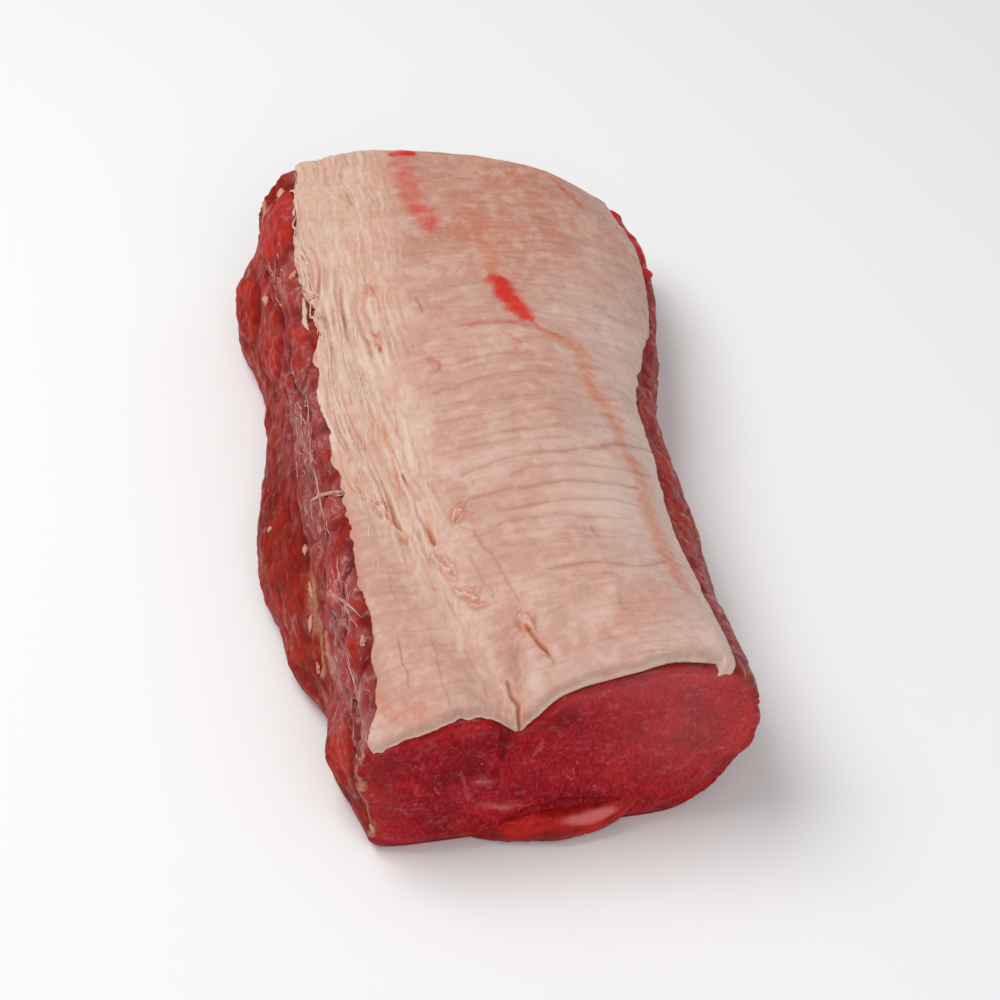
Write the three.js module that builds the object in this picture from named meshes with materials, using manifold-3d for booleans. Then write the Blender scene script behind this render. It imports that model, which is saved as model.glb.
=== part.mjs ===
// A whole boneless beef strip loin, lying fat side up: the lean, cut square across at the near end,
// and the cap of back fat that covers its top and rolls over both cut ends.
// Millimetres, +Z up, +Y from the near cut end to the far one. The origin is the middle of the base.

import * as THREE from "three";
import { mergeVertices } from "three/addons/utils/BufferGeometryUtils.js";
import Module from "manifold-3d";

// Overall sizes of the loin
const LENGTH = 401;
const CREST_HEIGHT = 91; // highest line of the back, over the middle
const NEAR_CREST = 4.5; // how much higher it stands at the near end
const PLATEAU_HEIGHT = 83; // flat strip of the back, along the chine side
const FAR_FALL = 12.5; // how much lower the crest lies at the far end
const CENTRE_X = -3.4; // middle of the widest points, from the line that the sections are drawn on
const NEAR_FACE = -196.3; // place of the near cut face, with the loose flap in front of it

// The chine side, on the left
const FOOT_LEFT = 85;
const BULGE_LEFT = 96;
const SEAM_LEFT = 92;
const SHOULDER_LEFT = 87;
const RIM_LEFT = 76;
const SIDE_SWELL = 17; // how far the side strip swells out at its middle
const FAR_SWELL = 8;

// The flank side, on the right
const FOOT_RIGHT = 62;
const LOW_RIGHT = 77;
const FLANK_RIGHT = 83;
const CROWN_RIGHT = 52;
const RIM_RIGHT = 70;
const FLARE = 24; // how much wider the flank side is in the far half

// The long hollow in the back, which runs in from the near end along the chine muscle
const HOLLOW_DEPTH = 12;
const HOLLOW_REACH = 14;
const HOLLOW_X = -21; // at the near end
const HOLLOW_SHIFT = 29; // how much further left it lies in the far half

// The near cut face and the far one
const EDGE_ROUND = 3; // radius of the cut faces' edges
const FAR_SKEW = 22; // the far face's right side stands this much nearer
const FACE_RELIEF = 1.2;
const FACE_SWELL = 4; // the near face bellies out this much, low down
const FACE_MIDDLE = 40; // height of the faces' middle
const LUMP = 1.1;

// The fat cap
const FAT_FULL = 7;
const FAT_EDGE = 2.6;
const FAT_LIP = 2.2; // at the near and far ends
const FAT_FEATHER = 18; // the fat reaches its full thickness this far in from its edges
const CAP_GAP = 0.3; // between the fat and the lean
const LIP_LIFT = 0.7; // the lip stands this much further off the lean
const LIP_REACH = 7; // how far the fat rolls over the near edge
const FAR_REACH = 7;


// The flap's and the tag's middle lines, measured from the near cut face
const FLAP_PATH = [
  [-38, 1.5, 3],
  [-22, -2.5, 7],
  [0, -5, 8],
  [20, -4, 9],
  [36, -0.5, 14],
];
const FLAP_HALF = { deep: 5.5, high: 8 };
const TAG_PATH = [
  [92, 311, 50],
  [101, 312, 48],
  [109, 314, 43],
];
const TAG_HALF = { deep: 4, high: 3.5 };

// How finely the surfaces are divided
const LEFT_COLUMNS = 11;
const FAT_COLUMNS = 33;
const RIGHT_COLUMNS = 9;
const BASE_COLUMNS = 5;
const BODY_ROWS = 38;
const ROLL_ROWS = 3;
const LIP_ROWS = 5;
const FACE_RINGS = [0.2, 0.4, 0.58, 0.74, 0.87, 0.95];
const STRAP_RINGS = 13;
const STRAP_SIDES = 12;

const RAIL_SPACING = 27; // usual distance between two neighbouring rails over the fat
const BODY_LENGTH = LENGTH - 2 * EDGE_ROUND;

const smooth = THREE.MathUtils.smoothstep;
const lerp = THREE.MathUtils.lerp;
const hump = (value, centre, reach) => Math.exp(-(((value - centre) / reach) ** 2));

// A slow, seeded wandering between about -1 and 1
function wander(value, seed) {
  const phase = seed * 2.399;
  return (
    0.5 * Math.sin(value + phase) +
    0.3 * Math.sin(2.3 * value + 1.7 * phase + 1) +
    0.2 * Math.sin(4.1 * value + 2.9 * phase + 2)
  );
}

// The rails that a section passes through, as [x, z], clockwise from the left foot as seen from the
// near end. The share t is 0 at the near end and 1 at the far end.
function rails(t) {
  const near = 1 - smooth(t, 0, 0.25);
  const corner = 1 - smooth(t, 0, 0.09);
  const far = smooth(t, 0.45, 0.82);
  const flare = smooth(t, 0.48, 0.88);
  const last = smooth(t, 0.88, 1);
  const tuck = smooth(t, 0.96, 1);
  const fall = FAR_FALL * smooth(t, 0.4, 1);
  const swell =
    SIDE_SWELL * hump(t, 0.43, 0.18) +
    FAR_SWELL * hump(t, 0.87, 0.1) +
    3 * hump(t, 0.26, 0.04) -
    4 * hump(t, 0.17, 0.04);
  return [
    [-(FOOT_LEFT + swell - 6 * corner - 7 * tuck), 0], // the left foot, then up the chine side
    [-(BULGE_LEFT + swell - 10 * corner - 9 * tuck), 20],
    [-(SEAM_LEFT + 0.25 * swell - 4 * corner - 4 * tuck), 42],
    [-(SHOULDER_LEFT + 0.1 * swell - 3 * last), 60 - 4 * near],
    [-(RIM_LEFT + 8 * corner - 6 * smooth(t, 0.76, 0.9) - 4 * last), 79 - 13 * near ** 2 - last],
    // over the back
    [-52, PLATEAU_HEIGHT - 3 * near ** 2 - 2.5 * last],
    [-22, 88 - 3 * near - 0.5 * fall],
    [20 + 13 * near, CREST_HEIGHT + NEAR_CREST * near - fall],
    [CROWN_RIGHT + 7 * near + 8 * far, 81 + 12 * near - 0.75 * fall],
    // down the flank side, and back along the base
    [RIM_RIGHT + near + FLARE * far - 8 * last, 66 + 18 * near - 9 * far - 2 * last],
    [FLANK_RIGHT + 2.5 * hump(t, 0.28, 0.2) + FLARE * flare - 4 * last, 42 + 18 * near - 3 * far],
    [LOW_RIGHT + 22 * flare - 6 * last, 17 + 13 * near],
    [FOOT_RIGHT - 15 * near + 16 * far - 5 * last, 0],
    [-12, 0],
  ];
}
const RAILS = 14;
const LEFT_RIM = 4;
const RIGHT_RIM = 9;
const BASE_START = 12;

// Where the fat's two long edges run, as places between the rails
function fatEdges(t) {
  const notches = 6 * hump(t, 0.64, 0.022) + 3.5 * hump(t, 0.57, 0.02) + 3.5 * hump(t, 0.152, 0.03);
  const left = notches - 2.5 * hump(t, 0.53, 0.02) + 1.2 * wander(26 * t, 1);
  const right = 1.4 * wander(22 * t, 2);
  return [LEFT_RIM + left / RAIL_SPACING, RIGHT_RIM + right / RAIL_SPACING];
}

// How far the fat hangs over the near edge: a drooping tip in the hollow, a tip at the right corner,
// and a stretch between them that was trimmed back. The share across is 0 at the left edge.
function lipReach(across) {
  return (
    LIP_REACH +
    9 * hump(across, 0.385, 0.03) +
    4 * hump(across, 0.96, 0.03) -
    6 * smooth(across, 0.64, 0.69) * (1 - smooth(across, 0.88, 0.93)) +
    0.7 * wander(30 * across, 3)
  );
}

// The fat is thin along its edges and thickens inwards
function fatThickness(place, t) {
  const [left, right] = fatEdges(t);
  const inset = RAIL_SPACING * Math.min(place - left, right - place);
  const full = FAT_FULL + 0.8 * wander(9 * t + place, 4);
  return lerp(FAT_EDGE, full, smooth(inset, 0, FAT_FEATHER));
}

// How deep the lean lies under the loin's outer skin: all the fat's thickness under the cap, and a
// little beside it, so that the cap's edge stands proud.
function leanDepth(place, t) {
  const [left, right] = fatEdges(t);
  if (place > left && place < right) return fatThickness(place, t) + CAP_GAP;
  const beside = RAIL_SPACING * Math.max(left - place, place - right);
  return (FAT_EDGE + CAP_GAP) * (1 - smooth(beside, 0, 14));
}

// The back's long hollow, which is deepest at the near end
function hollowDepth(place, x, t) {
  if (place < LEFT_RIM || place > RIGHT_RIM) return 0;
  const line = HOLLOW_X - HOLLOW_SHIFT * (1 - Math.exp(-t / 0.18));
  const depth = HOLLOW_DEPTH * (0.25 + 0.75 * Math.exp(-t / 0.12)) * (1 - smooth(t, 0.5, 0.85));
  return depth * hump(x, line, HOLLOW_REACH + 8 * smooth(t, 0, 0.3));
}

// The share of the length that a place along the skin lies at
function shareAt(along) {
  return (EDGE_ROUND + THREE.MathUtils.clamp(along, 0, BODY_LENGTH)) / LENGTH;
}

const curves = new Map();
function sectionCurve(t) {
  if (!curves.has(t)) {
    const points = rails(t).map(([x, z]) => new THREE.Vector3(x, 0, z));
    curves.set(t, new THREE.CatmullRomCurve3(points, true, "catmullrom", 0.5));
  }
  return curves.get(t);
}

// A point at some depth under the loin's outer skin. place runs round the section from rail to rail.
// along runs from the near bend to the far one: below 0 and past BODY_LENGTH the skin rolls over the
// edge of the cut face and down it, round a bend as deep as the fat there.
function skin(place, along, depth) {
  const t = shareAt(along);
  const curve = sectionCurve(t);
  const share = THREE.MathUtils.euclideanModulo(place, RAILS) / RAILS;
  const point = curve.getPoint(share);
  const tangent = curve.getTangent(share);
  const out = new THREE.Vector3(-tangent.z, 0, tangent.x);
  const lump = LUMP * wander(0.9 * place + 11 * t, 5) * smooth(point.z, 3, 22);
  point.addScaledVector(out, lump - hollowDepth(place, point.x, t)).setY(t * LENGTH);
  const past = Math.max(-along, along - BODY_LENGTH, 0);
  if (past === 0) {
    point.addScaledVector(out, -depth);
  } else {
    const bend = leanDepth(place, t) + EDGE_ROUND;
    const angle = Math.min(past / bend, Math.PI / 2);
    const down = past - (bend * Math.PI) / 2;
    const reach = bend - depth;
    point.addScaledVector(out, reach * Math.cos(angle) - bend - Math.max(down, 0));
    point.y += (along < 0 ? -1 : 1) * reach * Math.sin(angle);
  }
  return point;
}

// The far face stands askew, the whole loin lies on its base, and the origin is put under its middle.
function settle(point) {
  const skew = (FAR_SKEW / LENGTH) * smooth(point.x, -20, 110);
  return point.set(point.x - CENTRE_X, point.y * (1 - skew) + NEAR_FACE, Math.max(point.z, 0));
}

const bodyStations = Array.from({ length: BODY_ROWS }, (_, i) => {
  const share = i / (BODY_ROWS - 1);
  return BODY_LENGTH * (0.8 * share + 0.2 * share * share); // closer together near the cut end
});

// The places of the lengthwise lines: up the chine side, over the fat, down the flank, along the base
function columnPlaces(t) {
  const [left, right] = fatEdges(t);
  const places = [];
  for (let i = 0; i < LEFT_COLUMNS; i++) places.push((left * i) / LEFT_COLUMNS);
  for (let i = 0; i < FAT_COLUMNS; i++) places.push(lerp(left, right, i / FAT_COLUMNS));
  for (let i = 0; i < RIGHT_COLUMNS; i++) places.push(lerp(right, BASE_START, i / RIGHT_COLUMNS));
  for (let i = 0; i < BASE_COLUMNS; i++) places.push(lerp(BASE_START, RAILS, i / BASE_COLUMNS));
  return places;
}

function geometryOf(points, triangles) {
  const geometry = new THREE.BufferGeometry();
  const coordinates = points.flatMap((p) => [p.x, p.y, p.z]);
  geometry.setAttribute("position", new THREE.Float32BufferAttribute(coordinates, 3));
  geometry.setIndex(triangles.flat());
  return geometry;
}

// A solid from rings of points, each as long as the others, closed by a point at either end
function tubeGeometry(nearPole, rings, farPole) {
  const count = rings[0].length;
  const triangles = [];
  const at = (ring, i) => 1 + ring * count + (i % count);
  const farIndex = 1 + rings.length * count;
  for (let i = 0; i < count; i++) {
    triangles.push([0, at(0, i + 1), at(0, i)]);
    triangles.push([farIndex, at(rings.length - 1, i), at(rings.length - 1, i + 1)]);
    for (let ring = 0; ring < rings.length - 1; ring++) {
      triangles.push([at(ring, i), at(ring, i + 1), at(ring + 1, i + 1)]);
      triangles.push([at(ring, i), at(ring + 1, i + 1), at(ring + 1, i)]);
    }
  }
  return geometryOf([nearPole, ...rings.flat(), farPole], triangles);
}

// A solid from two grids of points, one above the other, closed all round their edges
function slabGeometry(upper, lower) {
  const rows = upper.length;
  const columns = upper[0].length;
  const up = (row, column) => row * columns + column;
  const low = (row, column) => (rows + row) * columns + column;
  const triangles = [];
  const quad = (a, b, c, d) => triangles.push([a, b, c], [a, c, d]);
  for (let row = 0; row < rows - 1; row++) {
    for (let column = 0; column < columns - 1; column++) {
      quad(up(row, column), up(row, column + 1), up(row + 1, column + 1), up(row + 1, column));
      quad(low(row, column), low(row + 1, column), low(row + 1, column + 1), low(row, column + 1));
    }
  }
  const last = rows - 1;
  const side = columns - 1;
  for (let i = 0; i < side; i++) {
    quad(low(0, i), low(0, i + 1), up(0, i + 1), up(0, i));
    quad(low(last, i + 1), low(last, i), up(last, i), up(last, i + 1));
  }
  for (let i = 0; i < last; i++) {
    quad(low(i + 1, 0), low(i, 0), up(i, 0), up(i + 1, 0));
    quad(low(i, side), low(i + 1, side), up(i + 1, side), up(i, side));
  }
  return geometryOf([...upper.flat(), ...lower.flat()], triangles);
}

// One cut face: rings that shrink from its rounded edge to its middle, with the slow unevenness that
// a knife leaves. outward is -1 for the near face and 1 for the far one.
function faceRings(edge, outward) {
  const middle = new THREE.Vector3(0, edge[0].y, FACE_MIDDLE);
  const swell = outward < 0 ? FACE_SWELL : 0;
  const point = (edgePoint, share) => {
    const p = middle.clone().lerp(edgePoint, share);
    const inside = 1 - smooth(share, 0.45, 0.95);
    const low = (1 - smooth(share, 0.8, 1)) * (1 - smooth(p.z, 25, 62));
    p.y += outward * (FACE_RELIEF * inside * wander(p.x / 26 + p.z / 19, outward + 8) + swell * low);
    return p;
  };
  const rings = FACE_RINGS.map((share) => edge.map((p) => point(p, share)));
  return { pole: point(edge[0], 0), rings };
}

function leanGeometry() {
  const quarter = (Math.PI / 2) * EDGE_ROUND;
  const ring = (along) => {
    const onBody = THREE.MathUtils.clamp(along, 0, BODY_LENGTH);
    return columnPlaces(shareAt(along)).map((place) => {
      const depth = leanDepth(place, shareAt(along));
      const roll = (depth + EDGE_ROUND) / EDGE_ROUND; // the skin's bend is wider than the lean's own
      return skin(place, onBody + (along - onBody) * roll, depth);
    });
  };
  const turns = Array.from({ length: ROLL_ROWS }, (_, i) => (quarter * (i + 1)) / ROLL_ROWS);
  const nearRoll = turns.map((turn) => ring(-turn)).reverse();
  const farRoll = turns.map((turn) => ring(BODY_LENGTH + turn));
  const near = faceRings(nearRoll[0], -1);
  const far = faceRings(farRoll[ROLL_ROWS - 1], 1);
  const rings = [...near.rings, ...nearRoll, ...bodyStations.map(ring), ...farRoll, ...far.rings.reverse()];
  rings.forEach((points) => points.forEach(settle));
  return tubeGeometry(settle(near.pole), rings, settle(far.pole));
}

function fatGeometry() {
  const upper = [];
  const lower = [];
  const addRow = (alongOf, taper, lift) => {
    const top = [];
    const under = [];
    for (let i = 0; i <= FAT_COLUMNS; i++) {
      const across = i / FAT_COLUMNS;
      const along = alongOf(across);
      const t = shareAt(along);
      const place = lerp(...fatEdges(t), across);
      const thickness = fatThickness(place, t);
      const thinned = (thickness - Math.min(FAT_LIP, thickness)) * taper;
      top.push(settle(skin(place, along, thinned)));
      under.push(settle(skin(place, along, thickness - lift)));
    }
    upper.push(top);
    lower.push(under);
  };
  for (let i = LIP_ROWS; i > 0; i--) {
    const share = i / LIP_ROWS;
    addRow((across) => -lipReach(across) * share, share ** 2, LIP_LIFT * share);
  }
  bodyStations.forEach((along) => addRow(() => along, 0, 0));
  for (let i = 1; i <= ROLL_ROWS; i++) {
    const share = i / ROLL_ROWS;
    addRow(() => BODY_LENGTH + FAR_REACH * share, share ** 2, LIP_LIFT * share);
  }
  return slabGeometry(upper, lower);
}

// A strap of meat along a path that runs rightwards. Its sections are ovals of the half sizes given,
// which taper towards both ends.
function strapGeometry(path, half) {
  const curve = new THREE.CatmullRomCurve3(path.map(([x, y, z]) => new THREE.Vector3(x, y + NEAR_FACE, z)));
  const ring = (share) => {
    const centre = curve.getPoint(share);
    const full = Math.sqrt(Math.sin(Math.PI * share));
    return Array.from({ length: STRAP_SIDES }, (_, i) => {
      const angle = (2 * Math.PI * i) / STRAP_SIDES;
      return new THREE.Vector3(
        centre.x,
        centre.y + half.deep * full * Math.cos(angle),
        Math.max(centre.z + half.high * full * Math.sin(angle), 0),
      );
    });
  };
  const rings = Array.from({ length: STRAP_RINGS }, (_, i) => ring((i + 1) / (STRAP_RINGS + 1)));
  return tubeGeometry(curve.getPoint(0), rings, curve.getPoint(1));
}

const wasm = await Module();
wasm.setup();

function solidOf(geometry) {
  const merged = mergeVertices(geometry, 1e-3);
  return new wasm.Manifold(
    new wasm.Mesh({
      numProp: 3,
      vertProperties: merged.attributes.position.array,
      triVerts: new Uint32Array(merged.index.array),
    }),
  );
}

function geometryFrom(solid) {
  const mesh = solid.getMesh();
  const geometry = new THREE.BufferGeometry();
  geometry.setAttribute("position", new THREE.BufferAttribute(mesh.vertProperties, 3));
  geometry.setIndex(new THREE.BufferAttribute(mesh.triVerts, 1));
  geometry.computeVertexNormals();
  return geometry;
}

// The loose flap at the foot of the near face, whose right end curls up, and a small tag of meat
// that stands out from the flank side.
const flap = strapGeometry(FLAP_PATH, FLAP_HALF);
const tag = strapGeometry(TAG_PATH, TAG_HALF);
const lean = solidOf(leanGeometry()).add(solidOf(flap)).add(solidOf(tag));

const group = new THREE.Group();
function addMesh(name, geometry, material) {
  const mesh = new THREE.Mesh(geometry, material);
  mesh.name = name;
  group.add(mesh);
}

const leanRed = new THREE.MeshStandardMaterial({ color: 0x96282b, roughness: 0.42, metalness: 0 });
const fatCream = new THREE.MeshStandardMaterial({ color: 0xdcb79c, roughness: 0.55, metalness: 0 });

addMesh("lean_loin", geometryFrom(lean), leanRed);
addMesh("fat_cap", geometryFrom(solidOf(fatGeometry())), fatCream);

export default group;
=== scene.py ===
"""A whole boneless beef strip loin, lying fat side up: its looks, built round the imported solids.

Sizes are millimetres, in the solids' own frame: +Z up, +Y from the near cut end to the far one.
"""

from __future__ import annotations

import logging
import math
from dataclasses import dataclass, field
from enum import Enum

import bpy
import numpy as np
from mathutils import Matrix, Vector
from mathutils.geometry import delaunay_2d_cdt


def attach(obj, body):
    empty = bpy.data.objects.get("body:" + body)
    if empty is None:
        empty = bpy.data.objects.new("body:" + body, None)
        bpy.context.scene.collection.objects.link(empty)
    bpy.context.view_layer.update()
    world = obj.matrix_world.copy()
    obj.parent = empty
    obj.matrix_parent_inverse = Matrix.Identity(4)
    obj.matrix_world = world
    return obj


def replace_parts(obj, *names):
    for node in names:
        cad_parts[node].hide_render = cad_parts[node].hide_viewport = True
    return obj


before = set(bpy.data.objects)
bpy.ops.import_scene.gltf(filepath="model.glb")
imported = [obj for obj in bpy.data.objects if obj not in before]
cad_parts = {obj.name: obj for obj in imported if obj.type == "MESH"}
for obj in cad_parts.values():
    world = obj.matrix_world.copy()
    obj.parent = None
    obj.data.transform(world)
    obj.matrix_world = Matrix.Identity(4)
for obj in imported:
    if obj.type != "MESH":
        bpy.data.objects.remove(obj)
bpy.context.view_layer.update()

Field = np.ndarray
Line = tuple[tuple[float, ...], ...]
Colour = tuple[float, float, float]

MM = 0.001
# The lengthwise rails, those that the fat's edges and the flat base start at, and the gap between two
RAILS = 14
LEFT_RIM = 4
RIGHT_RIM = 9
BASE_START = 12
RAIL_SPACING = 27.0
# The seeds of the scattered threads
WEB_SEED = 77
FRINGE_SEED = 79

log = logging.getLogger("strip_loin")


class Slot(Enum):
    """The material slots."""

    LEAN = "lean"
    FAT = "fat"


class Masks(Enum):
    """The colour attributes that carry a surface's masks, three in each."""

    ZONES = "zones"
    TINTS = "tints"
    MARKS = "marks"


# Plain curves and noise


def smooth(value: Field, low: float, high: float) -> Field:
    """Rises smoothly from 0 at low to 1 at high."""
    share = np.clip((value - low) / (high - low), 0, 1)
    return share * share * (3 - 2 * share)


def hump(value: Field, centre: float, reach: float) -> Field:
    """A bell of height 1 round the centre."""
    return np.exp(-(((value - centre) / reach) ** 2))


def patch(u: Field, v: Field, centre: tuple[float, float], reach: tuple[float, float]) -> Field:
    """A soft oval patch of height 1 on a surface."""
    return hump(u, centre[0], reach[0]) * hump(v, centre[1], reach[1])


def wander(value: Field, seed: int) -> Field:
    """A slow, seeded wandering between about -1 and 1, the same as the solids have."""
    phase = seed * 2.399
    return (
        0.5 * np.sin(value + phase)
        + 0.3 * np.sin(2.3 * value + 1.7 * phase + 1)
        + 0.2 * np.sin(4.1 * value + 2.9 * phase + 2)
    )


@dataclass
class Grain:
    """Smooth noise between -1 and 1, read from a seeded table of random values."""

    seed: int
    size: int = 256
    table: Field = field(init=False)

    def __post_init__(self) -> None:
        """Draws the table."""
        self.table = np.random.default_rng(self.seed).uniform(-1, 1, (self.size, self.size))

    def at(self, u: Field, v: Field) -> Field:
        """Reads the noise, whose waves are about 2 units long."""
        first_u, first_v = np.floor(u).astype(int), np.floor(v).astype(int)
        share_u, share_v = smooth(u - first_u, 0, 1), smooth(v - first_v, 0, 1)

        def corner(step_u: int, step_v: int) -> Field:
            """Reads one corner of each point's cell."""
            return self.table[(first_u + step_u) % self.size, (first_v + step_v) % self.size]

        near = corner(0, 0) * (1 - share_u) + corner(1, 0) * share_u
        far = corner(0, 1) * (1 - share_u) + corner(1, 1) * share_u
        return near * (1 - share_v) + far * share_v

    def rough(self, u: Field, v: Field, octaves: int = 3) -> Field:
        """Adds up several octaves of the noise."""
        total = np.zeros(np.broadcast(u, v).shape)
        for octave in range(octaves):
            total += self.at(u * 2**octave + 17.3 * octave, v * 2**octave + 5.9 * octave) * 0.55**octave
        return total


@dataclass(frozen=True)
class Stroke:
    """A mark that follows a line over a surface."""

    line: Line
    half: float
    strength: float = 1.0


def strokes(*rows: tuple) -> tuple[Stroke, ...]:
    """Makes strokes from rows that each give a half width, a strength and then the points."""
    return tuple(Stroke(tuple(points), half, depth) for half, depth, *points in rows)


def through(points: Line, steps: int = 6) -> Field:
    """Draws a smooth curve through points.

    Args:
        points: The points, of any number of coordinates.
        steps: How many pieces each stretch between two points is cut into.

    Returns:
        The curve's points, one in each row.
    """
    given = np.array(points, float)
    padded = np.vstack([2 * given[0] - given[1], given, 2 * given[-1] - given[-2]])
    share = np.arange(steps)[:, None] / steps
    pieces = []
    for a, b, c, d in zip(padded[:-3], padded[1:-2], padded[2:-1], padded[3:]):
        pieces.append(
            0.5
            * (
                2 * b
                + (c - a) * share
                + (2 * a - 5 * b + 4 * c - d) * share**2
                + (3 * b - 3 * c + d - a) * share**3
            )
        )
    return np.vstack([*pieces, given[-1:]])


def trace(u: Field, v: Field, strokes: tuple[Stroke, ...], widen: float = 1.0) -> tuple[Field, Field]:
    """Finds how strongly strokes mark a surface.

    Args:
        u: First coordinate of each point.
        v: Second coordinate of each point.
        strokes: The strokes, in the same coordinates.
        widen: How many times wider than given the marks are.

    Returns:
        The mark itself, and the lips that stand on both sides of it.
    """
    inside, lips = np.zeros(u.shape), np.zeros(u.shape)
    for stroke in strokes:
        line = through(stroke.line) if len(stroke.line) > 1 else np.array(stroke.line * 2, float)
        broad = stroke.half * widen
        low, high = line.min(0) - 4 * broad, line.max(0) + 4 * broad
        close = (u > low[0]) & (u < high[0]) & (v > low[1]) & (v < high[1])
        if not close.any():
            continue
        at_u, at_v = u[close], v[close]
        nearest, along = np.full(at_u.shape, np.inf), np.zeros(at_u.shape)
        for index, (a, b) in enumerate(zip(line[:-1], line[1:])):
            run = b - a
            share = np.clip(((at_u - a[0]) * run[0] + (at_v - a[1]) * run[1]) / max(run @ run, 1e-9), 0, 1)
            distance = np.hypot(at_u - a[0] - share * run[0], at_v - a[1] - share * run[1])
            closer = distance < nearest
            nearest = np.where(closer, distance, nearest)
            along = np.where(closer, (index + share) / (len(line) - 1), along)
        single = len(stroke.line) == 1
        half = broad * (1 if single else 0.35 + 0.65 * (4 * along * (1 - along)) ** 0.4)
        inside[close] = np.maximum(inside[close], stroke.strength * np.exp(-((nearest / half) ** 2)))
        lip = stroke.strength * np.exp(-(((nearest - 1.9 * half) / (0.8 * half)) ** 2))
        lips[close] = np.maximum(lips[close], lip)
    return inside, lips


def sunken(height: Field, cells: int, full: float) -> Field:
    """Finds how far a grid's points lie below their surroundings.

    Args:
        height: The height of each point of the grid.
        cells: How many cells away the surroundings reach.
        full: The depth that counts as 1.

    Returns:
        The share of that depth, from 0 to 1.
    """
    around = height
    for axis in (0, 1):
        wide = np.pad(around, [(cells, cells) if axis == a else (0, 0) for a in (0, 1)], mode="edge")
        total = np.cumsum(wide, axis=axis)
        last = np.take(total, range(2 * cells, total.shape[axis]), axis=axis)
        first = np.take(total, range(0, total.shape[axis] - 2 * cells), axis=axis)
        around = (last - first) / (2 * cells)
    return np.clip((around - height) / full, 0, 1)


# The loin's form


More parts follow.
